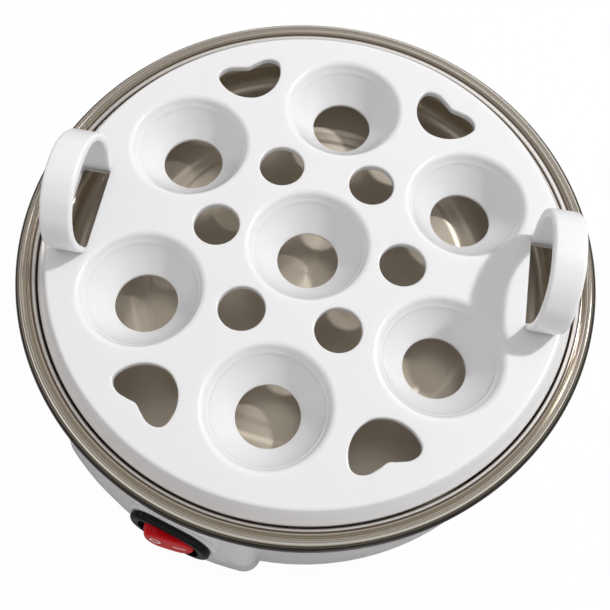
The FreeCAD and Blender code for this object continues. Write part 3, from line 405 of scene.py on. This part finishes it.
finishes = {
    "white_plastic": mouldedPlastic("whiteGloss", (0.80, 0.80, 0.815), 0.22, coat=0.2, coatRough=0.06, marks=0.08,
                                    shade=0.985, inside=0.35, reach=0.005, blend=evenScatter),
    "cover_plastic": mouldedPlastic("greyFloor", (0.66, 0.66, 0.66), 0.5, scale=2400.0, depth=0.00006),
    "black_plastic": mouldedPlastic("blackSatin", (0.008, 0.008, 0.009), 0.26, scale=2600.0, depth=0.00003,
                                    shade=0.7, gloss=0.4, ior=1.35),
    "red_plastic": mouldedPlastic("redLens", (0.66, 0.004, 0.008), 0.10, scale=500.0, depth=0.00001,
                                  marks=0.1, shade=0.85, gloss=0.4, ior=1.3),
    "sign_print": mouldedPlastic("signPrint", (0.92, 0.91, 0.90), 0.4, scale=3000.0, depth=0.000004, marks=0.1),
    "seal_rubber": mouldedPlastic("sealRubber", (0.62, 0.61, 0.59), 0.6, scale=3000.0, depth=0.00005),
    "foot_rubber": mouldedPlastic("footRubber", (0.03, 0.03, 0.03), 0.65, scale=3000.0, depth=0.00008, shade=0.7),
    "phenolic": mouldedPlastic("phenolic", (0.05, 0.035, 0.03), 0.4, scale=2500.0, depth=0.00005, shade=0.7),
    "block_nylon": mouldedPlastic("blockNylon", (0.74, 0.73, 0.70), 0.45, scale=2000.0, depth=0.00004),
    "clear_sleeve": mouldedPlastic("sleeveVinyl", (0.60, 0.63, 0.66), 0.3, scale=1200.0, depth=0.00003),
    "wire_cover": mouldedPlastic("wireCover", (0.72, 0.71, 0.68), 0.5, scale=2600.0, depth=0.00004),
    "ceramic_bead": mouldedPlastic("ceramicBead", (0.78, 0.75, 0.66), 0.35, scale=3500.0, depth=0.00004),
    "sleeve_fabric": mouldedPlastic("glassSleeve", (0.70, 0.67, 0.58), 0.8, scale=5200.0, depth=0.0002, shade=0.7),
    "lamp_glass": mouldedPlastic("lampGlass", (0.95, 0.90, 0.85), 0.05, scale=300.0, depth=0.00001, through=0.85),
    "stainless": panMetal("panSteel", panLook),
    "screw_steel": plainMetal("zincSteel", (0.60, 0.60, 0.61), 0.32),
    "tab_steel": plainMetal("pressedSteel", (0.55, 0.55, 0.54), 0.30),
    "spring_steel": plainMetal("springSteel", (0.50, 0.50, 0.50), 0.25),
    "blade_brass": plainMetal("bladeBrass", (0.72, 0.52, 0.22), 0.28),
    "spreader_aluminium": plainMetal("castAluminium", (0.62, 0.63, 0.64), 0.5, scale=700.0),
    "element_aluminium": plainMetal("tubeAluminium", (0.58, 0.58, 0.59), 0.4, scale=900.0),
}

slotOf = {entry["node"]: entry["material_slot"] for entry in frame["record"]["subparts"]}
for name, node in frame["nodes"].items():
    node.data.materials.clear()
    node.data.materials.append(finishes[slotOf[name]])
print("materials on", len(slotOf), "nodes")


# Moulded pieces, in millimetres.

trayShape = {
    "turn": 13.0, "top": 56.0, "wall": 2.0, "rimEdge": 0.5, "edgeRows": 6, "creaseAngle": 36, "normalWeight": 80,
    "flat": 72.2, "edge": 73.0, "shoulder": 1.2, "foot": 76.4, "drop": 4.8, "bend": 1.2,
    "innerDrop": 1.3, "innerBend": 1.0, "ledge": 45.0, "footEdge": 0.3, "collarTurns": 480,
    "cupAngles": (30, 90, 150, 210, 270, 330), "cupPitch": 48.1, "cupRadius": 18.3, "lip": 2.0, "lipAngle": 60.0,
    "hole": 8.95, "depth": 10.4, "sag": 0.5, "crease": 0.14, "creaseSpot": 0.17, "creaseWidth": 0.035,
    "lowDrop": 1.0, "lowLead": 0.2, "lowWidth": 1.7, "lowCorners": (0.15, 0.5), "lowSteps": 5, "coneTop": (18.27, -3.7, 1.7),
    "lipRows": 9, "bowlRows": 34, "cupTurns": 120,
    "ventAngles": (0, 60, 120, 180, 240, 300), "ventPitch": 26.9, "ventRadius": 6.5, "ventTurns": 72,
    "heartAngles": (60, 120, 239, 301), "heartPitch": 59.5, "heartHalf": 9.7, "heartLength": 13.0,
    "heartSide": ((0.0, -0.523), (0.505, -0.400), (0.856, -0.123), (1.0, 0.215), (0.897, 0.400), (0.608, 0.477),
                  (0.268, 0.431), (0.0, 0.377)),
    "handles": ((3, 0.0), (183, 1.3)), "slotCorner": 0.4, "slotSteps": 3, "slotEdge": 0.4,
    "strapInner": 62.0, "strapWidth": 8.5, "loopHalf": 14.7, "loopHeight": 23.0, "loopBulge": 0.23, "loopPower": 2.65,
    "holeHalf": 12.6, "holeBulge": 0.19, "holePower": 3.3, "loopTop": 3.0, "loopFoot": 1.0, "loopEdge": 0.9,
    "arcPoints": 721, "loopRows": 121, "loopEdgeRows": 5,
}


def ringLoop(radius, count, x=0.0):
    # count points round a circle about (x, 0): (x + radius cos a, radius sin a)
    a = np.linspace(0, 2 * np.pi, count, endpoint=False)
    return np.stack([x + radius * np.cos(a), radius * np.sin(a)], 1)


def softLoop(knots, steps=8):
    # a closed curve through the knots: each span is the cubic whose end slopes are half the chord of its neighbours
    t = np.linspace(0, 1, steps, endpoint=False)[None, :, None]
    a, b, c, d = (np.roll(knots, k, 0)[:, None, :] for k in (1, 0, -1, -2))
    span = 0.5 * (2 * b + (c - a) * t + (2 * a - 5 * b + 4 * c - d) * t ** 2 + (3 * b - a - 3 * c + d) * t ** 3)
    return span.reshape(-1, 2)


def turnLoop(loop, angle, shift=0.0):
    # moves a loop out along x and turns it about the origin
    a = math.radians(angle)
    return (loop + (shift, 0)) @ np.array([[math.cos(a), math.sin(a)], [-math.sin(a), math.cos(a)]])


def collar(loop, offsets, heights):
    # rows of a counter-clockwise loop, each moved out along its normals by an offset and set at a height
    step = np.roll(loop, -1, 0) - np.roll(loop, 1, 0)
    normal = np.stack([step[:, 1], -step[:, 0]], 1)
    normal /= np.hypot(normal[:, 0], normal[:, 1])[:, None]
    rows = loop[None] + np.asarray(offsets)[:, None, None] * normal[None]
    z = np.broadcast_to(np.asarray(heights, float)[:, None, None], rows.shape[:2] + (1,))
    rows = np.concatenate([rows, z], -1)
    return rows.reshape(-1, 3), gridFaces(rows.shape[0], rows.shape[1], False, True)


def filledSheet(loops, height):
    # the flat sheet between an outer loop and the holes inside it, at one height
    sizes = [len(loop) for loop in loops]
    flat = np.concatenate(loops)
    ends = np.concatenate([start + np.roll(np.arange(n), -1) for start, n in zip(np.cumsum([0] + sizes[:-1]), sizes)])
    sheet = bpy.data.meshes.new("flatSheet")
    edges = np.stack([np.arange(len(flat)), ends], 1)
    sheet.from_pydata(np.column_stack([flat, np.full(len(flat), height)]).tolist(), edges.tolist(), [])
    bm = bmesh.new()
    bm.from_mesh(sheet)
    bmesh.ops.triangle_fill(bm, use_beauty=True, edges=bm.edges[:], normal=(0, 0, 1))
    bm.to_mesh(sheet)
    bm.free()
    verts = np.empty(len(sheet.vertices) * 3)
    sheet.vertices.foreach_get("co", verts)
    corners = np.empty(len(sheet.loops), int)
    sheet.loops.foreach_get("vertex_index", corners)
    bpy.data.meshes.remove(sheet)
    return verts.reshape(-1, 3), corners.reshape(-1, 3)


def gathered(parts):
    # several (verts, faces) pairs as one
    verts, faces, start = [], [], 0
    for points, quads in parts:
        verts.append(points)
        faces += (np.asarray(quads) + start).tolist()
        start += len(points)
    return np.concatenate(verts), faces


def cupProfile():
    # (r, z) down the inside of a cup, over its lower rim and up the outside:
    # lip arc, shallow bowl arc with a faint crease, rounded lower rim, cone
    p = trayShape
    a = np.radians(np.linspace(0, p["lipAngle"], p["lipRows"]))
    lip = np.stack([p["cupRadius"] - p["lip"] * np.sin(a), p["lip"] * (np.cos(a) - 1)], 1)
    end = np.array([p["hole"], -p["depth"]])
    t = np.linspace(0, 1, p["bowlRows"])[1:, None]
    chord = lip[-1] - end
    out = np.array([chord[1], -chord[0]]) / np.hypot(*chord)
    step = p["crease"] * np.exp(-((t - p["creaseSpot"]) / p["creaseWidth"]) ** 2)
    bowl = lip[-1] * (1 - t) + end * t + out * (4 * p["sag"] * t * (1 - t) - step)
    hole, low = p["hole"], -p["depth"] - p["lowDrop"]
    near, far = p["lowCorners"]
    under = softPath([(hole, low + p["lowLead"], 0), (hole, low, near), (hole + p["lowWidth"], low, far),
                      p["coneTop"], (p["cupRadius"], -p["wall"], 0)], p["lowSteps"])
    return np.concatenate([lip, bowl, under])


def loopArc(half, height, power, bulge):
    # a superellipse arch: x = half |cos a|^(2/power), z = height |sin a|^(2/power), wider by a sine bulge; even steps
    p = trayShape
    a = np.linspace(0, np.pi, p["arcPoints"])
    rise = np.abs(np.sin(a)) ** (2 / power)
    side = np.sign(np.cos(a)) * np.abs(np.cos(a)) ** (2 / power) * (1 + bulge * np.sin(np.pi * rise))
    curve = np.stack([half * side, height * rise], 1)
    curve = np.concatenate([[[half, -p["loopFoot"]]], curve, [[-half, -p["loopFoot"]]]])
    along = np.concatenate([[0], np.cumsum(np.hypot(*np.diff(curve, axis=0).T))])
    even = np.linspace(0, along[-1], p["loopRows"])
    return np.stack([np.interp(even, along, curve[:, k]) for k in (0, 1)], 1)


def handleShell(angle, inset):
    # a strap bent in a loop: between two arches that bulge over the feet, corners rounded across the strap
    p = trayShape
    outer = loopArc(p["loopHalf"], p["loopHeight"], p["loopPower"], p["loopBulge"])
    inner = loopArc(p["holeHalf"], p["loopHeight"] - p["loopTop"], p["holePower"], p["holeBulge"])
    thick = np.hypot(*(outer - inner).T)[:, None]
    e, rows, width = p["loopEdge"], p["loopEdgeRows"], p["strapWidth"]
    q = np.radians(np.linspace(0, 90, rows))
    away, near = e * (1 - np.cos(q)), e * (1 - np.sin(q))
    x = np.concatenate([width - away, near, away, width - near])
    base = np.repeat([1.0, 1.0, 0.0, 0.0], rows)
    deep = np.concatenate([-near, -away, near, away])
    share = base[None] + deep[None] / thick
    strap = inner[:, None, :] + (outer - inner)[:, None, :] * share[..., None]
    r = p["strapInner"] - inset + x
    turn = math.radians(angle)
    grid = np.stack([r[None] * math.cos(turn) - strap[..., 0] * math.sin(turn),
                     r[None] * math.sin(turn) + strap[..., 0] * math.cos(turn), p["top"] + strap[..., 1]], -1)
    columns = len(x)
    last = (len(grid) - 1) * columns
    caps = [list(range(columns)), [last + k for k in range(columns)]]
    return grid.reshape(-1, 3), gridFaces(len(grid), columns, False, True).tolist() + caps


def trayOpenings():
    # the loops of the vents, hearts and slots, each with its share of the full rounding at the top edge;
    # a heart is one half and its mirror image, its point towards the middle of the tray
    p = trayShape
    side = np.array(p["heartSide"]) * (p["heartHalf"], p["heartLength"])
    heart = softLoop(np.concatenate([side, side[-2:0:-1] * (-1, 1)]))
    heart = turnLoop(heart, -90)
    half, width, corner = p["holeHalf"], p["strapWidth"], p["slotCorner"]
    slot = [(0, -half, 0), (width, -half, corner), (width, half, corner), (0, half, corner), (0, -half, 0)]
    slot = softPath(slot, p["slotSteps"])[:-1]
    vent = ringLoop(p["ventRadius"], p["ventTurns"])
    openings = [(turnLoop(vent, angle, p["ventPitch"]), 1.0) for angle in p["ventAngles"]]
    openings += [(turnLoop(heart, angle, p["heartPitch"]), 1.0) for angle in p["heartAngles"]]
    openings += [(turnLoop(slot, angle, p["strapInner"] - inset), p["slotEdge"]) for angle, inset in p["handles"]]
    return openings


def makeTray():
    # the moulded tray: flat top with openings, cups, leaning collar and two lifting loops
    p = trayShape
    top, under, e = p["top"], p["top"] - p["wall"], p["rimEdge"]
    q = np.radians(np.linspace(0, 90, p["edgeRows"]))
    rimOffsets = np.concatenate([e * (1 - np.sin(q)), [0.0]])
    rimHeights = np.concatenate([top - e * (1 - np.cos(q)), [under]])
    parts, topLoops, underLoops = [], [], []
    for loop, share in trayOpenings():
        heights = top - (top - rimHeights) * np.append(np.full(len(q), share), 1)
        verts, faces = collar(loop, rimOffsets * share, heights)
        parts.append((verts, faces))
        topLoops.append(verts[:len(loop), :2])
        underLoops.append(loop)
    profile = cupProfile() + (0, top)
    for r, angle in [(0.0, 0.0)] + [(p["cupPitch"], angle) for angle in p["cupAngles"]]:
        x, y = r * math.cos(math.radians(angle)), r * math.sin(math.radians(angle))
        grid = turnedGrid(profile, p["cupTurns"], x, y)
        parts.append((grid.reshape(-1, 3), gridFaces(len(profile), p["cupTurns"], False, True)))
        topLoops.append(grid[0, :, :2])
        underLoops.append(grid[-1, :, :2])
    foot, inside, bend = p["foot"], p["foot"] - p["wall"], top - p["drop"]
    line = softPath([(p["flat"], top, 0), (p["edge"], top, p["shoulder"]), (foot, bend, p["bend"]),
                     (foot, p["ledge"], p["footEdge"]), (inside, p["ledge"], p["footEdge"]),
                     (inside, bend - p["innerDrop"], p["innerBend"]), (p["flat"], under, 0)])
    grid = turnedGrid(line, p["collarTurns"])
    parts.append((grid.reshape(-1, 3), gridFaces(len(line), p["collarTurns"], False, True)))
    parts.append(filledSheet([grid[0, :, :2]] + topLoops, top))
    parts.append(filledSheet([grid[-1, :, :2]] + underLoops, under))
    verts, faces = gathered(parts)
    for angle, inset in p["handles"]:
        points, quads = handleShell(angle, inset)
        faces += [[k + len(verts) for k in face] for face in quads]
        verts = np.concatenate([verts, points])
    verts[:, :2] = turnLoop(verts[:, :2], p["turn"])
    tray = meshPiece("eggTrayMoulding", verts * mm, faces, "tray", "white_plastic", p["creaseAngle"])
    evenNormals(tray, p["normalWeight"])
    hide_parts("egg_tray")


makeTray()
print("tray done")

shellLook = {"creaseAngle": 30, "normalWeight": 60}
for node, name in (("base_housing", "housingShell"), ("switch_body", "switchBezel"), ("rim_seal", "rimSeal"),
                   ("bottom_cover", "floorCover"), ("rubber_feet", "rubberFeet"), ("cord_bushing", "cordBush")):
    smoothTwin(node, name, shellLook)
print("moulded pieces done")


# Rocker of the switch, in its own frame: x along the rocker, y up the face, z outward.

rockerShape = {
    "place": (0.0, -84.124, 30.5), "lean": 80.5, "tilt": 10.0, "pivot": -1.5, "end": 8.2, "width": 10.2, "corner": 4.86,
    "low": -3.2, "crown": 3.5, "rise": -0.35, "edge": 0.5,
    "cornerSteps": 14, "sideRows": 8, "edgeRows": 7, "crownRows": 14,
    "ringSpot": -3.6, "ringRadius": 1.45, "ringTurns": 64, "dashSpot": 3.3, "dashHalf": 1.75, "dashRows": 13,
    "line": 0.22, "proud": 0.07, "signEdge": 0.8, "creaseAngle": 40, "signCrease": 50,
}


def onPod(points, shape):
    # tips rocker points about the pivot, leans them on to the pod's face and sets them in place
    x, y, z = points.T
    a, b = math.radians(shape["tilt"]), math.radians(shape["lean"])
    rise = z - shape["pivot"]
    u, w = x * math.cos(a) + rise * math.sin(a), rise * math.cos(a) - x * math.sin(a) + shape["pivot"]
    turned = np.stack([u, y * math.cos(b) - w * math.sin(b), y * math.sin(b) + w * math.cos(b)], 1)
    return (turned + shape["place"]) * mm


def rockerTop(x, shape):
    # height of the slightly arched crown along the rocker: highest over the pivot, lower by the square of x
    return shape["crown"] + shape["rise"] * (x / (shape["end"] - 2 * shape["edge"])) ** 2


def makeRocker():
    # an oval button: the outline's ends follow a drum about the pivot, round its edge,
    # then rows close to the middle of the crown
    p = rockerShape
    half, side, e, corner = p["end"], p["width"] / 2, p["edge"], p["corner"]
    outline = softPath([(0, -side, 0), (half, -side, corner), (half, side, corner), (-half, side, corner),
                        (-half, -side, corner), (0, -side, 0)], p["cornerSteps"])[:-1]
    step = np.roll(outline, -1, 0) - np.roll(outline, 1, 0)
    normal = np.stack([step[:, 1], -step[:, 0]], 1) / np.hypot(*step.T)[:, None]
    q = np.radians(np.linspace(0, 90, p["edgeRows"]))
    endTop = p["crown"] + p["rise"]
    straight = np.linspace(p["low"], endTop - e, p["sideRows"])[:-1]
    level = np.concatenate([straight, endTop - e * (1 - np.sin(q))])
    inset = np.concatenate([np.zeros(len(straight)), e * (1 - np.cos(q))])
    reach = np.sqrt(half ** 2 - (level - p["pivot"]) ** 2) / half
    x = outline[None, :, 0] * reach[:, None] - normal[None, :, 0] * inset[:, None]
    y = outline[None, :, 1] - normal[None, :, 1] * inset[:, None]
    top = rockerTop(x[-1], p)
    share = (level - p["low"]) / (endTop - p["low"])
    z = np.where(level[:, None] > endTop - e - 1e-9, top[None] - (endTop - level)[:, None],
                 p["low"] + (top[None] - p["low"]) * share[:, None])
    inward = np.linspace(1, 0, p["crownRows"])[1:, None]
    x, y = np.concatenate([x, x[-1:] * inward]), np.concatenate([y, y[-1:] * inward])
    z = np.concatenate([z, rockerTop(x[len(level):], p)])
    columns = len(outline)
    faces = gridFaces(len(x), columns, False, True).tolist() + [list(range(columns))]
    verts = onPod(np.stack([x, y, z], -1).reshape(-1, 3), p)
    rocker = meshPiece("rockerButton", verts, faces, "rocker", "red_plastic", p["creaseAngle"])
    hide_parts("switch_rocker")


def makeSigns():
    # the O and the dash: low ridges of even width that follow the crown
    p = rockerShape
    line, proud, turns, rows = p["line"], p["proud"], p["ringTurns"], p["dashRows"]
    across = [-line, -line * p["signEdge"], line * p["signEdge"], line]
    ring = collar(ringLoop(p["ringRadius"], turns, p["ringSpot"]), across, [-proud, proud, proud, -proud])[0]
    faces = gridFaces(len(across), turns, True, True).tolist()
    sides, heights = [-line, line, line, -line], [-proud, -proud, proud, proud]
    corners = len(sides)
    along = np.repeat(p["dashSpot"] + p["dashHalf"] * np.linspace(-1, 1, rows), corners)
    dash = np.stack([along, np.tile(sides, rows), np.tile(heights, rows)], 1)
    first, last = len(ring), len(ring) + len(dash) - corners
    faces += (gridFaces(rows, corners, False, True) + first).tolist()
    faces += [[start + k for k in range(corners)] for start in (first, last)]
    marks = np.concatenate([ring, dash])
    marks[:, 2] += rockerTop(marks[:, 0], p)
    meshPiece("rockerSigns", onPod(marks, p), faces, "rocker", "white_plastic", p["signCrease"], "sign_print")


makeRocker()
makeSigns()
print("rocker done")


# Steel pan.

# dimple: radius, height and corner of each point; rimRise: how far out from the rim wall and up from the shoulder
panShape = {
    "gauge": 0.6, "plate": 36.5, "trayTop": 56.0, "rim": 82.5, "hem": 47.6,
    "wall": 72.5, "rimWall": 76.9, "ledge": 45.0, "corner": 4.5, "wallCorner": 1.2, "ledgeCorner": 0.7,
    "plain": (4.0, 46.0, 4.0), "dimple": ((0, -0.06, 0), (0.3, -0.05, 0), (0.9, -0.01, 0.3), (1.4, 0.0, 0.2)),
    "grooveRadius": 50.5, "grooveWidth": 3.0, "grooveDepth": 0.25, "grooveCorner": 6.0,
    "shoulderDrop": 3.6, "rimRise": ((0.0, -1.4, 0.8), (1.3, 0.0, 0.5), (2.2, -1.0, 0.15)),
    "beadDrop": 3.0, "beadOut": 3.0, "beadCorners": (0.9, 2.2, 1.0), "hemTurn": 1.3,
    "cornerSteps": 8, "turns": 350, "creaseAngle": 40,
}


def makePan():
    # the pan as one turned sheet: plate, pressed ring, wall, ledge, grooved shoulder and rolled bead
    p = panShape
    plate, bead, shoulder = p["plate"], p["trayTop"] - p["beadDrop"], p["trayTop"] - p["shoulderDrop"]
    width, depth = p["grooveWidth"], p["grooveDepth"]
    inner, outer, lower = p["beadCorners"]
    line = [(r, plate + dip, radius) for r, dip, radius in p["dimple"]]
    line += [(r, plate, 0) for r in np.arange(*p["plain"])]
    line += [(p["grooveRadius"] + out, plate - dip, p["grooveCorner"])
             for out, dip in ((-width, 0), (-width / 2, depth), (width / 2, depth), (width, 0))]
    line += [(p["wall"], plate, p["corner"]), (p["wall"], p["ledge"], p["wallCorner"]),
             (p["rimWall"], p["ledge"], p["ledgeCorner"])]
    line += [(p["rimWall"] + out, shoulder + up, radius) for out, up, radius in p["rimRise"]]
    line += [(p["rimWall"] + p["beadOut"], bead, inner), (p["rim"], bead, outer), (p["rim"], p["hem"], lower),
             (p["rim"] - p["hemTurn"], p["hem"], 0)]
    verts, faces = turnedSheet(softPath(line, p["cornerSteps"]) * mm, p["gauge"] * mm, p["turns"])
    pan = meshPiece("steelPan", verts, faces, "base", "stainless", p["creaseAngle"])
    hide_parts("heating_pan")


makePan()
print("pan done")


# Studio: floor, light and camera.

# bands: pairs of height and tone that mirrors meet
studio = {
    "keyTurn": 47.0, "keyHeight": 49.0, "keyDistance": 1.2, "keySize": 0.07, "keyPower": 9.6, "keyTarget": 0.05,
    "skyTop": 0.69, "skyLow": 0.44, "skySpan": (-0.1, 0.95), "skyTint": (1.0, 0.985, 0.975),
    "bands": ((0.0, 0.02), (0.14, 0.04), (0.2, 0.6), (0.34, 0.85), (0.42, 0.10), (0.6, 0.16), (0.72, 0.9),
              (0.88, 0.6), (1.0, 0.42)),
    "bandTint": (1.0, 0.985, 0.96),
    "floorHalf": 3.0, "floorTone": 0.88, "floorGlow": 1.0, "floorSeen": 0.97, "floorMirrored": 0.85, "mirrorTone": 0.12,
}


def makeWorld():
    # soft fill that grows from the horizon to overhead; mirrors meet bright and dark bands by height, the camera white
    world = bpy.data.worlds.new("studio")
    bpy.context.scene.world = world
    world.use_nodes = True
    tree = world.node_tree
    tree.nodes.clear()
    way = add(tree, "ShaderNodeTexCoord").outputs["Generated"]
    height = add(tree, "ShaderNodeSeparateXYZ", {0: way}).outputs[2]
    bands = add(tree, "ShaderNodeValToRGB", {0: height})
    setRamp(bands.color_ramp, [(spot, scaled(tone, studio["bandTint"])) for spot, tone in studio["bands"]])
    path = add(tree, "ShaderNodeLightPath").outputs
    rise = ranged(tree, height, studio["skySpan"], (studio["skyLow"], studio["skyTop"]))
    fill = add(tree, "ShaderNodeBackground", {"Color": (*studio["skyTint"], 1), "Strength": rise})
    shine = add(tree, "ShaderNodeBackground", {"Color": bands.outputs[0], "Strength": 1.0})
    white = add(tree, "ShaderNodeBackground", {"Color": (1, 1, 1, 1), "Strength": 1.0})
    first = add(tree, "ShaderNodeMixShader", {0: path["Is Glossy Ray"], 1: fill.outputs[0], 2: shine.outputs[0]})
    seen = math2(tree, "MAXIMUM", path["Is Camera Ray"], path["Is Transmission Ray"])
    both = add(tree, "ShaderNodeMixShader", {0: seen, 1: first.outputs[0], 2: white.outputs[0]})
    add(tree, "ShaderNodeOutputWorld", {0: both.outputs[0]})


def makeFloor():
    # a wide pale floor: camera and glass rays meet its glow, mirrors a dimmer one; the rest is lit and takes the shadow
    mesh = bpy.data.meshes.new("floorSheet")
    size = studio["floorHalf"]
    mesh.from_pydata([(-size, -size, 0), (size, -size, 0), (size, size, 0), (-size, size, 0)], [], [(0, 1, 2, 3)])
    floor = bpy.data.objects.new("floorSheet", mesh)
    bpy.context.scene.collection.objects.link(floor)
    material = bpy.data.materials.new("paleFloor")
    material.use_nodes = True
    tree = material.node_tree
    tree.nodes.clear()
    path = add(tree, "ShaderNodeLightPath").outputs
    glossy = path["Is Glossy Ray"]
    direct = math2(tree, "MAXIMUM", path["Is Camera Ray"], path["Is Transmission Ray"])
    seen = math2(tree, "MULTIPLY", direct, studio["floorSeen"])
    share = math2(tree, "MULTIPLY_ADD", glossy, studio["floorMirrored"], seen)
    lit = add(tree, "ShaderNodeBsdfDiffuse", {"Color": (*scaled(studio["floorTone"], (1, 1, 1)), 1)})
    dimmer = studio["mirrorTone"] - studio["floorGlow"]
    strength = math2(tree, "MULTIPLY_ADD", glossy, dimmer, studio["floorGlow"])
    glow = add(tree, "ShaderNodeEmission", {"Color": (1, 1, 1, 1), "Strength": strength})
    both = add(tree, "ShaderNodeMixShader", {0: share, 1: lit.outputs[0], 2: glow.outputs[0]})
    add(tree, "ShaderNodeOutputMaterial", {0: both.outputs[0]})
    mesh.materials.append(material)


def sideAndUp(back):
    # the right and up directions of what looks against back, its up near the world's
    right = np.cross([0, 0, 1.0], back)
    right /= np.linalg.norm(right)
    return right, np.cross(back, right)


def standing(right, up, back, spot):
    # the matrix of an object with these three axes, set at the spot
    return Matrix([(right[i], up[i], back[i], spot[i]) for i in range(3)] + [(0, 0, 0, 1)])


def makeLamp():
    # one small round lamp, aimed at the middle of the object
    lamp = bpy.data.lights.new("keyLamp", "AREA")
    lamp.shape = "DISK"
    lamp.size = studio["keySize"]
    lamp.energy = studio["keyPower"]
    item = bpy.data.objects.new("keyLamp", lamp)
    bpy.context.scene.collection.objects.link(item)
    a, e, distance = math.radians(studio["keyTurn"]), math.radians(studio["keyHeight"]), studio["keyDistance"]
    target = np.array([0, 0, studio["keyTarget"]])
    spot = target + distance * np.array([math.cos(a) * math.cos(e), math.sin(a) * math.cos(e), math.sin(e)])
    back = (spot - target) / np.linalg.norm(spot - target)
    item.matrix_world = standing(*sideAndUp(back), back, spot)


cameraView = {
    "turn": 21.902, "height": 67.228, "roll": 4.407, "distance": 0.211187,
    "target": (0.007169, -0.017220, 0.056), "lens": 45.82, "sensor": 36.0, "clipStart": 0.01,
}


def makeCamera():
    # the camera stands off the target by turn and height, then rolls about its own axis
    c = cameraView
    a, e, roll = (math.radians(c[k]) for k in ("turn", "height", "roll"))
    back = np.array([math.sin(a) * math.cos(e), -math.cos(a) * math.cos(e), math.sin(e)])
    spot = np.array(c["target"]) + back * c["distance"]
    right, up = sideAndUp(back)
    x = math.cos(roll) * right + math.sin(roll) * up
    y = math.cos(roll) * up - math.sin(roll) * right
    data = bpy.data.cameras.new("photoCamera")
    data.lens = c["lens"]
    data.sensor_width = c["sensor"]
    data.clip_start = c["clipStart"]
    camera = bpy.data.objects.new("photoCamera", data)
    bpy.context.scene.collection.objects.link(camera)
    camera.matrix_world = standing(x, y, back, spot)
    bpy.context.scene.camera = camera


makeWorld()
makeFloor()
makeLamp()
makeCamera()
bpy.context.scene.view_settings.view_transform = "Standard"
print("studio done")
